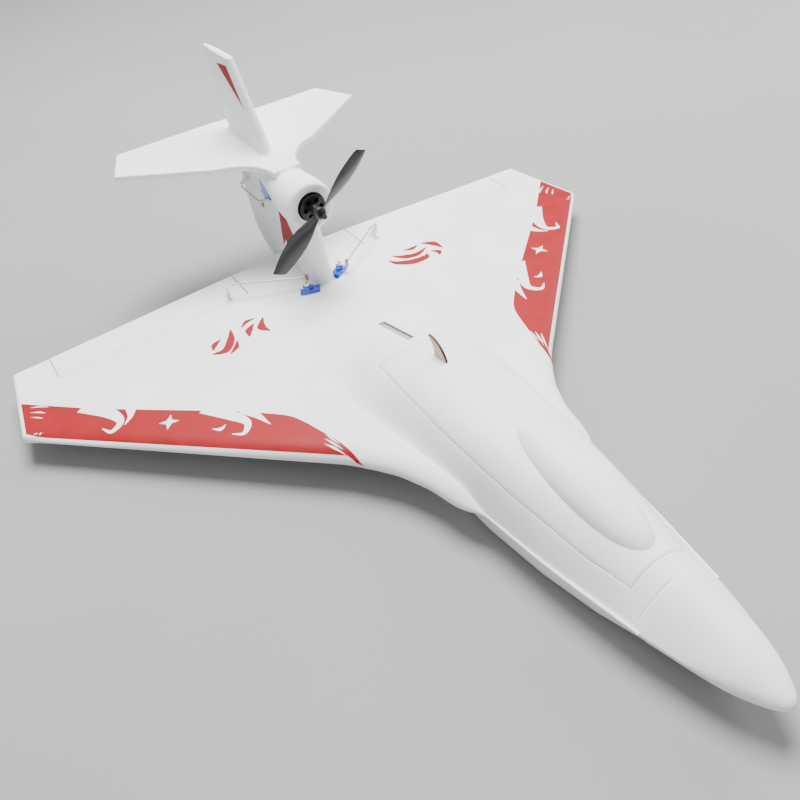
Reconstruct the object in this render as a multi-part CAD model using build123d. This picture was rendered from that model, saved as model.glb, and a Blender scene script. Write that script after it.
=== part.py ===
from build123d import *
import math
import os

# A white foam flying-wing seaplane for radio control, 0.86 m span.
# Frame: +Z up, nose towards -Y, port side towards +X.
# Origin: on the flat planing bottom, under the middle of the airframe's length.

# ---- overall sizes ----
SPAN = 864.0
NOSE_Y = -514.0            # tip of the nose cone
WING_TE_Y = 354.0          # straight trailing edge of the wing
PARTING_Z = 40.0           # chine: lower hull below, deck above

# ---- wing ----
WING_ROOT_X = 44.0
TIP_LE_Y = 219.0
TIP_RAKE = 16.0            # the tip's trailing corner is this far inboard
STRAKE_LE = [(44, -214), (66, -214), (80, -206), (84, -190), (91, -154), (104, -118), (140, -68)]
WING_TOP_ROOT = 54.5
WING_TOP_TIP = 38.0
WING_BOTTOM_ROOT = 25.0
WING_BOTTOM_TIP = 25.5
WING_EDGE = 3.0            # trailing edge thickness
WING_NOSE = 20.0           # length of the rounded leading edge
BOAT_TAIL = 110.0          # length over which the underside rises to the trailing edge

# ---- ailerons ----
AILERON_IN_X = 93.5
AILERON_TIP_MARGIN = 67.0  # fixed tip left outside the aileron
AILERON_OUT_X = SPAN / 2 - AILERON_TIP_MARGIN
AILERON_CHORD_IN = 60.0
AILERON_CHORD_OUT = 51.0
SLIT = 1.6                 # open slit at each end of a control surface
HINGE_GAP = 0.6            # crease left between a surface and its panel
BEVEL = 30.0               # degrees cut away under a hinge

# ---- hull and deck stations: y, top z, hatch edge x and z, foot x and z ----
DECK_STATIONS = [
    (-401, 73, 25, 56, 47, 40),
    (-374, 79, 31, 61, 52, 40),
    (-330, 86, 41, 70, 59, 40),
    (-288, 91, 46, 77, 65, 40),
    (-244, 95, 51, 80, 69, 41),
    (-189, 98, 55, 85, 73, 43),
    (-130, 99, 56, 86, 76, 46),
    (-58, 97, 54, 83, 84, 48),
    (10, 89, 48, 76, 92, 46),
    (86, 70, 44, 62, 88, 44),
    (236, 57.5, 36, 55.5, 76, 40),
    (320, 55.5, 34, 54.8, 70, 40),
    (354, 54.5, 34, 54.2, 66, 46),
]
# y, half width at the chine, half width of the bottom, bottom z
HULL_STATIONS = [
    (-401, 47, 29, 6),
    (-350, 56, 43, 1.5),
    (-288, 65, 55, 0),
    (-214, 72, 62, 0),
    (0, 72, 62, 0),
    (100, 70, 58, 0),
]
STERN_STATIONS = [
    (100, 70, 54, 8),
    (220, 58, 42, 13),
    (340, 40, 28, 24),
]
STERN_HALF = 40.0          # hull's half width at the transom
NOSE_STATIONS = [(-401, 47, 73, 6), (-435, 39, 67, 11), (-470, 29, 60, 17), (-497, 17, 52, 26)]
NOSE_TIP_Z = 40.0

# ---- hatch, with its canopy bulge ----
HATCH_OUTLINE = [
    (-374, 31), (-330, 41), (-288, 46), (-244, 51),
    (-189, 55), (-130, 56.5), (-58, 54.5), (2, 49),
]
HATCH_BASE_Z = 52.0
HATCH_GAP = 0.6
CANOPY_FRONT_Y = -366.0
CANOPY_REAR_Y = -186.0
CANOPY_HALF = 25.0
CANOPY_RISE = 15.0
CANOPY_SUNK = 8.0          # part of the bulge that is inside the hatch
CANOPY_Z = 86.0
CANOPY_TILT = 5.33         # degrees, nose down
BAY_FRONT_Y = -290.0
BAY_REAR_Y = -30.0
BAY_MARGIN = 10.0          # bay wall to the tray
BAY_FLOOR_Z = 11.0
HATCH_CAVITY_Z = 70.0
SLOT_FRONT_Y = 12.0
SLOT_LENGTH = 74.0
SLOT_WIDTH = 8.0
SLOT_DEPTH = 3.6

# ---- plywood latch tab on the hatch ----
TAB_Y = -46.0
TAB_LENGTH = 34.0
TAB_RISE = 22.0
TAB_SINK = 6.0
TAB_THICK = 3.0
TAB_BOW = (10.0, 21.0)     # point on the front curve: aft of the foot, above it
TAB_HOLLOW = (10.0, 12.0)  # point on the rear curve: ahead of the tip, above the foot
TAB_UNDERCUT = 8.0

# ---- pylon, nacelle, fin ----
PYLON_FOOT_Z = 30.0
PYLON_LE_Y = 226.0         # at the foot
PYLON_LE_TOP_Y = 240.0     # under the stabilizer
RUDDER_HINGE_LOW = (405.0, 32.0)     # y, z
RUDDER_HINGE_HIGH = (443.0, 193.0)
PYLON_HALF_FOOT = 15.0
PYLON_HALF_NECK = 12.0
PYLON_HALF_TE = 5.0
THRUST_Z = 173.0
NACELLE_LIP_Y = 231.0
NACELLE_WALL = 12.5
STAB_Z = 200.0
STAB_THICK = 8.0
FIN_TOP_Z = 322.0
FIN_LE_BASE_Y = 338.0
FIN_LE_TOP_Y = 401.0
FIN_TE_BASE_Y = 475.0
FIN_TE_TOP_Y = 496.0
FIN_HALF_BASE = 7.0
FIN_HALF_TOP = 5.0
FIN_HALF_TE = 2.5
FIN_TAPER = 40.0

# ---- stabilizer, elevator, rudder ----
STAB_TE_Y = 515.0
STAB_TIP_LE = (187.0, 443.0)
STAB_TIP_TE_X = 162.0
STAB_ROOT = [(22, 296), (27, 316), (42, 334), (66, 350)]
ELEVATOR_HINGE_Y = 478.0
RUDDER_HALF = 4.0
RUDDER_TE = [(472, 191), (472, 109), (465, 62), (443, 34), (414, 22)]
RUDDER_GAP = 1.0
RUDDER_BEVEL = 50.0        # degrees between each bevel and the blade's face
RUDDER_NOTCH_HALF = 26.0   # notch in the deck's stern for the rudder

# ---- motor and propeller ----
MOTOR_R = 17.5
MOTOR_CLEAR = 2.0
NACELLE_R = MOTOR_R + MOTOR_CLEAR + NACELLE_WALL
MOTOR_FRONT_Y = 225.0
BELL_LENGTH = 24.0
STATOR_LENGTH = 8.0
BELL_WALL = 2.5
BELL_FACE = 4.0            # thickness of the bell's spoked front
BELL_WINDOWS = 6
BELL_WINDOW_R = 3.4
BELL_WINDOW_RING = 11.0
CORE_GAP = 1.0             # air gap between the wound core and the bell
CORE_SLOTS = 12
CORE_SLOT_R = 1.5
CORE_SLOT_RING = 11.6
STATOR_STEP = 1.5          # how much smaller the base is than the bell
RUNNING_GAP = 0.6
SHAFT_R = 2.5
SHAFT_FIT = 0.05
MOUNT_THICK = 4.0
MOUNT_SCREW_R = 1.5
MOUNT_SCREW_PCD = 25.0
ADAPTER_R = 6.5
PROP_DIAMETER = 194.0
PROP_HUB_R = 8.0
PROP_HUB_LENGTH = 8.0
PROP_Y = 209.0             # middle of the propeller hub
PROP_REST_ANGLE = 40.0
BLADE_CHORD = 23.0
BLADE_PITCH = 26.0
NUT_R = 5.0
NUT_LENGTH = 11.0
NUT_HEX_LENGTH = 5.0
NUT_DOME_R = 3.1
STUD_LENGTH = 8.0          # thread ahead of the propeller hub
# share of the radius, share of the chord, share of the pitch
BLADE_TABLE = [(0.05, 0.5, 1.4), (0.2, 0.72, 1.25), (0.4, 1.0, 1.0), (0.7, 0.92, 0.72), (0.92, 0.66, 0.55),
               (1.0, 0.4, 0.45)]
BLADE_THICK_ROOT = 3.4
BLADE_THICK_TIP = 1.2

# ---- 9 g servos ----
SERVO_L = 22.8
SERVO_W = 12.2
SERVO_H = 22.5
SERVO_TAB_L = 32.2
SERVO_TAB_T = 2.4
SERVO_TAB_Z = 16.0         # underside of the tabs above the case floor
SERVO_SHAFT_OFF = 5.9
SERVO_SHAFT_R = 2.4
SERVO_PROUD = 7.0          # how far a deck servo's case stands above the foam
ARM_REACH = 12.0
ARM_THICK = 1.8
POCKET_GAP = 0.4
ARM_LIFT = 4.4             # case top to the arm's underside
SERVO_BOSS_H = 3.6
SERVO_GEAR_OFF = 6.5       # small round boss beside the shaft's
SERVO_GEAR_R = 2.9
SERVO_SPLINE_H = 7.0
SERVO_EAR = 2.3            # screw hole to the tab's end
SERVO_EAR_R = 1.0
ARM_HUB_R = 3.5
ARM_HUB_H = 3.2
ARM_CAP_H = 0.8
ARM_WIDTH = 4.2
ARM_PAST = 1.0             # bar past the pin hole
ARM_SCREW_R = 1.0
ARM_SCREW_HEAD = (2.0, 1.6)  # radius, height

# ---- linkages ----
ROD_R = 1.0
ROD_FIT = 0.03
ROD_LEG = 2.2
ROD_TAIL = 4.5             # rod left over past the stopper
STOPPER_R = 2.4
STOPPER_H = 6.0
STOPPER_SCREW = (1.3, 1.8)   # radius, height
STOPPER_PIN_H = 3.8
PIN_R = 1.0
PIN_FIT = 0.1
HORN_THICK = 1.8
HORN_RISE = 23.0
HORN_BACK = 1.0
HORN_BASE_L = 20.0
HORN_BASE_W = 10.0
HORN_BASE_T = 1.4
HORN_ROOT = 7.0            # half length of the web where it stands on the base
HORN_TIP = 3.0             # edge left round the hole
HORN_CLEAR = {"aileron": 2.0, "rudder": 6.0, "elevator": 8.0}   # hinge to the base's front
OPEN_PIVOT_GAP = 2.4       # rod end to horn, at the opened pivot
HORN_X = 118.0
TAIL_SERVO_Y = 361.0
TAIL_SERVO_Z = 145.0       # face of the tail servos' cases, which hang shaft down
TAIL_SERVO_GAP = 1.9       # each tail servo's case to the mast's middle
TAIL_ROD_X = ARM_REACH + SERVO_W / 2 + TAIL_SERVO_GAP
ELEVATOR_HORN_X = 30.0
ELEVATOR_HORN_RISE = 12.0

# ---- equipment in the hull ----
SPAR_R = 4.0
SPAR_Y = 60.0
SPAR_HALF = 235.0
SPAR_Z = 38.0
SPAR_FIT = 0.05
STAB_SPAR_R = 1.5
STAB_SPAR_Y = 420.0
STAB_SPAR_HALF = 130.0
BATTERY = (34.0, 105.0, 24.0)
BATTERY_FRONT_Y = -280.0
TRAY_THICK = 2.0
TRAY_MARGIN = 9.0
TRAY_HALF = BATTERY[0] / 2 + TRAY_MARGIN
TRAY_FRONT_GAP = 2.0
TRAY_REAR_Y = -120.0
BAY_HALF = TRAY_HALF + BAY_MARGIN
EQUIPMENT_X = 18.0         # speed controller and receiver, each side of the middle
STRAP_WIDTH = 16.0
STRAP_THICK = 1.2
STRAP_SLACK = 0.2
EQUIPMENT_GAP = 10.0       # speed controller and receiver to the bay's rear wall
ESC = (26.0, 50.0, 10.0)
RECEIVER = (22.0, 38.0, 13.0)
MAGNET_R = 4.0
MAGNET_T = 3.0
MAGNET_X = 42.0
MAGNET_Y = -14.0


def box(size, centre):
    return Pos(*centre) * Box(*size)


def rod(start, end, radius):
    """A round bar between two points."""
    line = Vector(*end) - Vector(*start)
    plane = Plane(origin=start, z_dir=line)
    return plane * Cylinder(radius, line.length, align=(Align.CENTER, Align.CENTER, Align.MIN))


def prism(points, direction):
    """A closed flat outline of 3-D points, pushed along a vector."""
    face = make_face(Polyline(*points, close=True))
    return extrude(face, amount=Vector(*direction).length, dir=Vector(*direction))


def outline(points, z0, z1):
    return prism([(x, y, z0) for x, y in points], (0, 0, z1 - z0))


def mirrored(shape):
    return mirror(shape, about=Plane.YZ)


def between(value, low, high):
    """Straight-line blend: low and high are (position, result)."""
    return low[1] + (high[1] - low[1]) * (value - low[0]) / (high[0] - low[0])


# ---------------------------------------------------------------- wing ----
def wing_top(x):
    return between(x, (WING_ROOT_X, WING_TOP_ROOT), (SPAN / 2, WING_TOP_TIP))


def wing_bottom(x):
    return between(x, (WING_ROOT_X, WING_BOTTOM_ROOT), (SPAN / 2, WING_BOTTOM_TIP))


def wing_section(x, le_y):
    """Foam wing section: rounded nose, flat top, underside rising to a thin edge."""
    top, low = wing_top(x), wing_bottom(x)
    mid = (top + low) / 2
    corner = 0.7071
    nose = WING_NOSE
    points = [
        (x, WING_TE_Y, top - WING_EDGE),
        (x, WING_TE_Y, top),
        (x, le_y + nose, top),
        (x, le_y, mid),
        (x, le_y + nose, low),
        (x, WING_TE_Y - BOAT_TAIL, low),
    ]
    upper = (x, le_y + nose * (1 - corner), mid + (top - mid) * corner)
    lower = (x, le_y + nose * (1 - corner), mid - (mid - low) * corner)
    edges = [
        Line(points[0], points[1]),
        Line(points[1], points[2]),
        ThreePointArc(points[2], upper, points[3]),
        ThreePointArc(points[3], lower, points[4]),
        Line(points[4], points[5]),
        Line(points[5], points[0]),
    ]
    return make_face(Wire(edges))


def wing_blank():
    """Port wing before its aileron is cut, as far as the raked tip."""
    half = SPAN / 2
    sections = [wing_section(x, y) for x, y in STRAKE_LE]
    sections.append(wing_section(half + 2, between(half + 2, STRAKE_LE[-1], (half, TIP_LE_Y))))
    blank = loft(sections, ruled=True)
    slope = TIP_RAKE / (WING_TE_Y - TIP_LE_Y)
    cut = [
        (half + 400 * slope, TIP_LE_Y - 400),
        (half - TIP_RAKE - 40 * slope, WING_TE_Y + 40),
        (half + 400, WING_TE_Y + 40),
        (half + 400, TIP_LE_Y - 400),
    ]
    return blank - outline(cut, -10, 120)


def hinge_points():
    inner = (AILERON_IN_X, WING_TE_Y - AILERON_CHORD_IN, wing_top(AILERON_IN_X))
    outer = (AILERON_OUT_X, WING_TE_Y - AILERON_CHORD_OUT, wing_top(AILERON_OUT_X))
    return Vector(*inner), Vector(*outer)


def hinge_cutters(inner, outer, thick, behind):
    """Two prisms along a hinge line: the whole surface, and the bevelled groove under the hinge."""
    run = outer - inner
    up = Vector(0, 0, 3)
    down = Vector(0, 0, -thick - 6)
    back = Vector(0, behind, 0)
    slant = Vector(0, (thick + 6) * math.tan(math.radians(BEVEL)) + HINGE_GAP, 0)
    gap = Vector(0, HINGE_GAP, 0)
    whole = [inner + up, inner + up + back, inner + down + back, inner + down]
    groove = [inner + up, inner + up + gap, inner + gap, inner + down + slant, inner + down]
    return prism(whole, run), prism(groove, run)


def wing_and_aileron():
    blank = wing_blank()
    inner, outer = hinge_points()
    whole, groove = hinge_cutters(inner, outer, 30, AILERON_CHORD_IN + 30)
    slit = box((SLIT, 200, 100), (inner.X + SLIT / 2, inner.Y + 99, 60))
    slit_out = box((SLIT, 200, 100), (outer.X - SLIT / 2, outer.Y + 99, 60))
    aileron = (blank & whole) - groove - slit - slit_out
    wing = blank - whole - rod((0, SPAR_Y, SPAR_Z), (SPAR_HALF + 1, SPAR_Y, SPAR_Z), SPAR_R + SPAR_FIT)
    return wing, aileron


# ------------------------------------------------------------ fuselage ----
def deck_section(y, top, edge_x, edge_z, foot_x, foot_z):
    port = [(edge_x, y, edge_z), (foot_x, y, foot_z)]
    points = [(-foot_x, y, foot_z), (-edge_x, y, edge_z), (0, y, top)] + port
    roof = Spline(*points)
    floor = PARTING_Z - 12
    sides = Polyline(points[-1], (foot_x, y, floor), (-foot_x, y, floor), points[0])
    return make_face(Wire([roof] + list(sides.edges())))


def upper_body():
    """Deck and hatch together, as one faired form."""
    return loft([deck_section(*s) for s in DECK_STATIONS])


def hull_section(y, chine, flat, bottom):
    points = [(-chine, y, PARTING_Z), (-flat, y, bottom), (flat, y, bottom), (chine, y, PARTING_Z)]
    return make_face(Polyline(*points, close=True))


def hull_blank():
    front = loft([hull_section(*s) for s in HULL_STATIONS], ruled=True)
    stern = loft([hull_section(*s) for s in STERN_STATIONS], ruled=True)
    return front + stern


def bay_cut(z0, z1):
    front = BAY_FRONT_Y
    return box((2 * BAY_HALF, BAY_REAR_Y - front, z1 - z0), (0, (BAY_REAR_Y + front) / 2, (z0 + z1) / 2))


def hull():
    shell = hull_blank() - bay_cut(BAY_FLOOR_Z, PARTING_Z + 5)
    return shell - spar_hole()


def spar_hole():
    return rod((-SPAR_HALF - 1, SPAR_Y, SPAR_Z), (SPAR_HALF + 1, SPAR_Y, SPAR_Z), SPAR_R + SPAR_FIT)


def hatch_prism(grow, z0):
    side = [(x + grow, y) for y, x in HATCH_OUTLINE]
    side[0] = (side[0][0], side[0][1] - grow)
    side[-1] = (side[-1][0], side[-1][1] + grow)
    port = side
    starboard = [(-x, y) for x, y in reversed(side)]
    return outline(port + starboard, z0, 140)


def canopy_bulge():
    """Teardrop fairing on the hatch."""
    middle = (CANOPY_FRONT_Y + CANOPY_REAR_Y) / 2
    half = (CANOPY_REAR_Y - CANOPY_FRONT_Y) / 2
    ball = scale(Sphere(1), by=(CANOPY_HALF, half, CANOPY_RISE + CANOPY_SUNK))
    return Pos(0, middle, CANOPY_Z) * Rot(CANOPY_TILT, 0, 0) * ball


def hatch_parts(body):
    bulged = body + canopy_bulge()
    lid = bulged & hatch_prism(0, HATCH_BASE_Z)
    lid = lid - bay_cut(HATCH_BASE_Z - 1, HATCH_CAVITY_Z)
    tab = latch_tab()
    return lid - tab - magnets(HATCH_BASE_Z), tab


def latch_tab():
    """Shark-fin finger tab of plywood, let into the hatch."""
    foot = deck_height(TAB_Y) - TAB_SINK
    crest = deck_height(TAB_Y) + TAB_RISE
    front = TAB_Y - TAB_LENGTH / 2
    rear = TAB_Y + TAB_LENGTH / 2
    bow = ThreePointArc((0, front, foot), (0, front + TAB_BOW[0], foot + TAB_BOW[1]), (0, rear, crest))
    heel = (0, rear - TAB_UNDERCUT, foot)
    hollow = ThreePointArc((0, rear, crest), (0, rear - TAB_HOLLOW[0], foot + TAB_HOLLOW[1]), heel)
    base = Line(heel, (0, front, foot))
    face = make_face(Wire([bow, hollow, base]))
    return extrude(face, amount=TAB_THICK / 2, dir=(1, 0, 0), both=True)


def deck_height(y):
    """Height of the deck's centre line at a station."""
    for low, high in zip(DECK_STATIONS, DECK_STATIONS[1:]):
        if low[0] <= y <= high[0]:
            return between(y, (low[0], low[1]), (high[0], high[1]))
    return DECK_STATIONS[-1][1]


def magnets(z):
    """A pair of disc magnets standing on the height z."""
    disc = Cylinder(MAGNET_R, MAGNET_T, align=(Align.CENTER, Align.CENTER, Align.MIN))
    return [Pos(side * MAGNET_X, MAGNET_Y, z) * disc for side in (-1, 1)]


def deck_and_wings():
    """The deck moulding, the port wing and the port aileron, trimmed to each other."""
    body = upper_body()
    lower = hull_blank()
    wing, aileron = wing_and_aileron()
    hatch, tab = hatch_parts(body)
    deck = body - lower - hatch_prism(HATCH_GAP, HATCH_BASE_Z) - bay_cut(0, HATCH_BASE_Z + 5)
    recess_z = deck_height(SLOT_FRONT_Y + SLOT_LENGTH / 2)
    fall = deck_height(SLOT_FRONT_Y) - deck_height(SLOT_FRONT_Y + SLOT_LENGTH)
    slope = math.degrees(math.atan2(fall, SLOT_LENGTH))
    recess = Pos(0, SLOT_FRONT_Y + SLOT_LENGTH / 2, recess_z) * Rot(-slope, 0, 0)
    deck = deck - recess * Box(SLOT_WIDTH, SLOT_LENGTH, 2 * SLOT_DEPTH)
    deck = deck - magnets(HATCH_BASE_Z - MAGNET_T) - pylon_solid() - rudder_room()
    deck = deck - stern_trim()
    wing = wing - body - lower
    return deck, hatch, tab, wing, aileron


def stern_trim():
    """The deck's underside rises to the trailing edge with the wings, beside the hull."""
    start = WING_TE_Y - BOAT_TAIL
    top = wing_top(WING_ROOT_X)
    rise = [(start, WING_BOTTOM_ROOT), (WING_TE_Y + 1, top - WING_EDGE), (WING_TE_Y + 1, 0), (start, 0)]
    wedge = prism([(-120, y, z) for y, z in rise], (240, 0, 0))
    over_hull = box((2 * STERN_HALF, 400, 60), (0, STERN_STATIONS[-1][0] - 200, 30))
    beside_hull = box((2 * STERN_HALF + 4, 120, 30), (0, WING_TE_Y - 60, PARTING_Z - 15))
    return wedge - over_hull + beside_hull


# --------------------------------------------------------------- pylon ----
def hinge_y(z):
    """Rudder hinge line, raked aft with height."""
    low, high = RUDDER_HINGE_LOW, RUDDER_HINGE_HIGH
    return between(z, (low[1], low[0]), (high[1], high[0]))


def pylon_section(z, le, te, half, half_te):
    shoulder = le + half
    nose = ThreePointArc((-half, shoulder, z), (0, le, z), (half, shoulder, z))
    sides = Polyline((half, shoulder, z), (half_te, te, z), (-half_te, te, z), (-half, shoulder, z))
    return make_face(Wire([nose] + list(sides.edges())))


def pylon_solid():
    """Raked foam mast from the hull up to the stabilizer's seat."""
    levels = [
        (PYLON_FOOT_Z, PYLON_HALF_FOOT),
        (70.0, PYLON_HALF_FOOT - 2),
        (120.0, PYLON_HALF_NECK),
        (STAB_Z, PYLON_HALF_NECK),
    ]
    faces = []
    for z, half in levels:
        lead = between(z, (PYLON_FOOT_Z, PYLON_LE_Y), (STAB_Z, PYLON_LE_TOP_Y))
        faces.append(pylon_section(z, lead, hinge_y(z) - RUDDER_GAP, half, PYLON_HALF_TE))
    return loft(faces, ruled=True)


def nacelle_solid():
    """Round motor nacelle that fairs back into the pylon under the stabilizer."""
    stations = [
        (NACELLE_LIP_Y, NACELLE_R, THRUST_Z),
        (NACELLE_LIP_Y + 30, NACELLE_R + 1, THRUST_Z),
        (NACELLE_LIP_Y + 90, 24.0, THRUST_Z + 4),
        (NACELLE_LIP_Y + 190, 11.0, STAB_Z - 14),
    ]
    rings = [Plane(origin=(0, y, z), z_dir=(0, 1, 0)) * Circle(r) for y, r, z in stations]
    return loft(rings)


def pylon():
    body = pylon_solid() + nacelle_solid()
    body = body - box((80, 300, 60), (0, STAB_ROOT[0][1] + 150 - STAB_THICK, STAB_Z + 30)) - stab_blank()
    motor_room = MOUNT_THICK + STATOR_LENGTH + BELL_LENGTH - (NACELLE_LIP_Y - MOTOR_FRONT_Y)
    bore = disc_y(NACELLE_LIP_Y - 1, NACELLE_LIP_Y + motor_room, MOTOR_R + MOTOR_CLEAR)
    return body - bore


def rudder_room():
    """Notch in the deck's stern for the pylon's rear edge and the rudder."""
    return box((2 * RUDDER_NOTCH_HALF, 100, 200), (0, WING_TE_Y + 34, 60))


def fin():
    base, top = STAB_Z + STAB_THICK, FIN_TOP_Z
    foot = fin_section(base, FIN_LE_BASE_Y, FIN_TE_BASE_Y, FIN_HALF_BASE)
    crown = fin_section(top, FIN_LE_TOP_Y, FIN_TE_TOP_Y, FIN_HALF_TOP)
    return loft([foot, crown], ruled=True)


def fin_section(z, le, te, half):
    shoulder = le + half
    nose = ThreePointArc((-half, shoulder, z), (0, le, z), (half, shoulder, z))
    taper = te - FIN_TAPER
    rear = FIN_HALF_TE
    sides = Polyline((half, shoulder, z), (half, taper, z), (rear, te, z), (-rear, te, z),
                     (-half, taper, z), (-half, shoulder, z))
    return make_face(Wire([nose] + list(sides.edges())))


# ---------------------------------------------------------------- tail ----
def stab_blank():
    side = STAB_ROOT + [STAB_TIP_LE, (STAB_TIP_TE_X, STAB_TE_Y)]
    other = [(-x, y) for x, y in reversed(side)]
    return outline(side + other, STAB_Z, STAB_Z + STAB_THICK)


def stabilizer_and_elevator():
    blank = stab_blank()
    reach = STAB_TIP_LE[0] + 20
    start = Vector(-reach, ELEVATOR_HINGE_Y, STAB_Z + STAB_THICK)
    end = Vector(reach, ELEVATOR_HINGE_Y, STAB_Z + STAB_THICK)
    whole, groove = hinge_cutters(start, end, STAB_THICK, STAB_TE_Y - ELEVATOR_HINGE_Y + 20)
    elevator = (blank & whole) - groove
    spar = stab_spar(STAB_SPAR_R + SPAR_FIT)
    return blank - whole - spar, elevator


def stab_spar(radius):
    z = STAB_Z + STAB_THICK / 2
    return rod((-STAB_SPAR_HALF, STAB_SPAR_Y, z), (STAB_SPAR_HALF, STAB_SPAR_Y, z), radius)


def rudder():
    """Blade under the stabilizer, bevelled on both sides of its hinge line."""
    top_z = RUDDER_TE[0][1]
    low_z = RUDDER_TE[-1][1] + 8
    lead = [(0, hinge_y(low_z) + RUDDER_GAP, low_z), (0, hinge_y(top_z) + RUDDER_GAP, top_z)]
    trail = [(0, y, z) for y, z in RUDDER_TE]
    face = make_face(Polyline(*(lead + trail), close=True))
    blade = extrude(face, amount=RUDDER_HALF, dir=(1, 0, 0), both=True)
    run = Vector(*lead[1]) - Vector(*lead[0])
    start = Vector(*lead[0]) - run
    depth = RUDDER_HALF / math.tan(math.radians(RUDDER_BEVEL))
    for side in (-1, 1):
        wide = side * RUDDER_HALF * 2
        ahead = -2 * RUDDER_HALF
        corner = [start, start + Vector(wide, 2 * depth, 0)]
        corner += [start + Vector(wide, ahead, 0), start + Vector(0, ahead, 0)]
        blade = blade - prism(corner, run * 3)
    return blade


# --------------------------------------------------------------- motor ----
def disc_y(y0, y1, radius, x=0.0, z=THRUST_Z):
    return rod((x, y0, z), (x, y1, z), radius)


def motor_layout():
    """Y positions of the motor's faces, from the bell's front to the mount's rear."""
    bell_rear = MOTOR_FRONT_Y + BELL_LENGTH
    stator_rear = bell_rear + STATOR_LENGTH
    return bell_rear, stator_rear, stator_rear + MOUNT_THICK


def motor_mount():
    _, front, rear = motor_layout()
    plate = disc_y(front, rear, MOTOR_R + MOTOR_CLEAR - 0.2)
    for x, z in screw_places():
        plate = plate - disc_y(front - 1, rear + 1, MOUNT_SCREW_R + 0.05, x, z)
    return plate


def screw_places():
    r = MOUNT_SCREW_PCD / 2
    turns = [math.radians(a) for a in (45, 135, 225, 315)]
    return [(r * math.cos(a), THRUST_Z + r * math.sin(a)) for a in turns]


def mount_screws():
    bell_rear, front, rear = motor_layout()
    pieces = []
    for x, z in screw_places():
        shank = disc_y(front - 3, rear - 1, MOUNT_SCREW_R, x, z)
        pieces.append(shank)
    return pieces


def motor_stator():
    """Fixed base with the bearing tube and the wound core inside the bell."""
    bell_rear, stator_rear, _ = motor_layout()
    core_front = MOTOR_FRONT_Y + BELL_FACE + CORE_GAP
    base = disc_y(bell_rear + RUNNING_GAP, stator_rear, MOTOR_R - STATOR_STEP)
    core = disc_y(core_front, bell_rear + RUNNING_GAP, MOTOR_R - BELL_WALL - CORE_GAP)
    for k in range(CORE_SLOTS):
        turn = 2 * math.pi * k / CORE_SLOTS
        x, z = CORE_SLOT_RING * math.cos(turn), THRUST_Z + CORE_SLOT_RING * math.sin(turn)
        core = core - disc_y(core_front - CORE_GAP, bell_rear + RUNNING_GAP, CORE_SLOT_R, x, z)
    body = base + core - disc_y(MOTOR_FRONT_Y, stator_rear + 1, SHAFT_R + SHAFT_FIT)
    for x, z in screw_places():
        body = body - disc_y(stator_rear - 4, stator_rear + 1, MOUNT_SCREW_R + 0.05, x, z)
    return body


def motor_bell():
    """Rotating can with a spoked front and the shaft pressed in it."""
    bell_rear, stator_rear, _ = motor_layout()
    can = disc_y(MOTOR_FRONT_Y, bell_rear, MOTOR_R)
    can = can - disc_y(MOTOR_FRONT_Y + BELL_FACE, bell_rear + 1, MOTOR_R - BELL_WALL)
    for k in range(BELL_WINDOWS):
        turn = 2 * math.pi * k / BELL_WINDOWS
        x, z = BELL_WINDOW_RING * math.cos(turn), THRUST_Z + BELL_WINDOW_RING * math.sin(turn)
        can = can - disc_y(MOTOR_FRONT_Y - 1, MOTOR_FRONT_Y + BELL_FACE + 1, BELL_WINDOW_R, x, z)
    return can + disc_y(MOTOR_FRONT_Y + 1, stator_rear - 2, SHAFT_R)


def prop_adapter():
    """Flanged collet with the stud that the propeller and nut go on."""
    hub_rear = PROP_Y + PROP_HUB_LENGTH / 2
    flange = disc_y(hub_rear, MOTOR_FRONT_Y, ADAPTER_R)
    return flange + disc_y(PROP_Y - PROP_HUB_LENGTH / 2 - STUD_LENGTH, hub_rear, SHAFT_R)


def prop_nut():
    front = PROP_Y - PROP_HUB_LENGTH / 2
    hexagon = Plane(origin=(0, front, THRUST_Z), z_dir=(0, -1, 0)) * RegularPolygon(NUT_R, 6)
    nut = extrude(hexagon, amount=NUT_HEX_LENGTH, dir=(0, -1, 0))
    dome = disc_y(front - NUT_LENGTH, front - NUT_HEX_LENGTH, NUT_DOME_R)
    return nut + dome - disc_y(front - STUD_LENGTH - 0.1, front + 1, SHAFT_R)


def blade_section(r, chord, angle, thick):
    """One lens-shaped blade section at radius r along +X, pitched about the radius."""
    a = math.radians(angle)
    half = chord / 2
    chordwise = Vector(0, math.sin(a), math.cos(a))
    normal = Vector(0, -math.cos(a), math.sin(a))
    centre = Vector(r, 0, 0)
    lead, trail = centre + chordwise * half, centre - chordwise * half
    face_mid = centre + normal * (thick * 0.2)
    back_mid = centre + normal * thick
    return make_face(Wire([ThreePointArc(lead, back_mid, trail), ThreePointArc(trail, face_mid, lead)]))


def propeller():
    tip = PROP_DIAMETER / 2
    faces = []
    for share, chord, pitch in BLADE_TABLE:
        thick = between(share, (0, BLADE_THICK_ROOT), (1, BLADE_THICK_TIP))
        faces.append(blade_section(tip * share, BLADE_CHORD * chord, BLADE_PITCH * pitch, thick))
    blade = loft(faces)
    other = Rot(0, 180, 0) * blade
    pair = Pos(0, PROP_Y, THRUST_Z) * Rot(0, -PROP_REST_ANGLE, 0) * Compound([blade, other])
    hub = disc_y(PROP_Y - PROP_HUB_LENGTH / 2, PROP_Y + PROP_HUB_LENGTH / 2, PROP_HUB_R)
    solid = hub
    for piece in pair.solids():
        solid = solid + piece
    return solid - disc_y(PROP_Y - 20, PROP_Y + 20, SHAFT_R)


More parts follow.
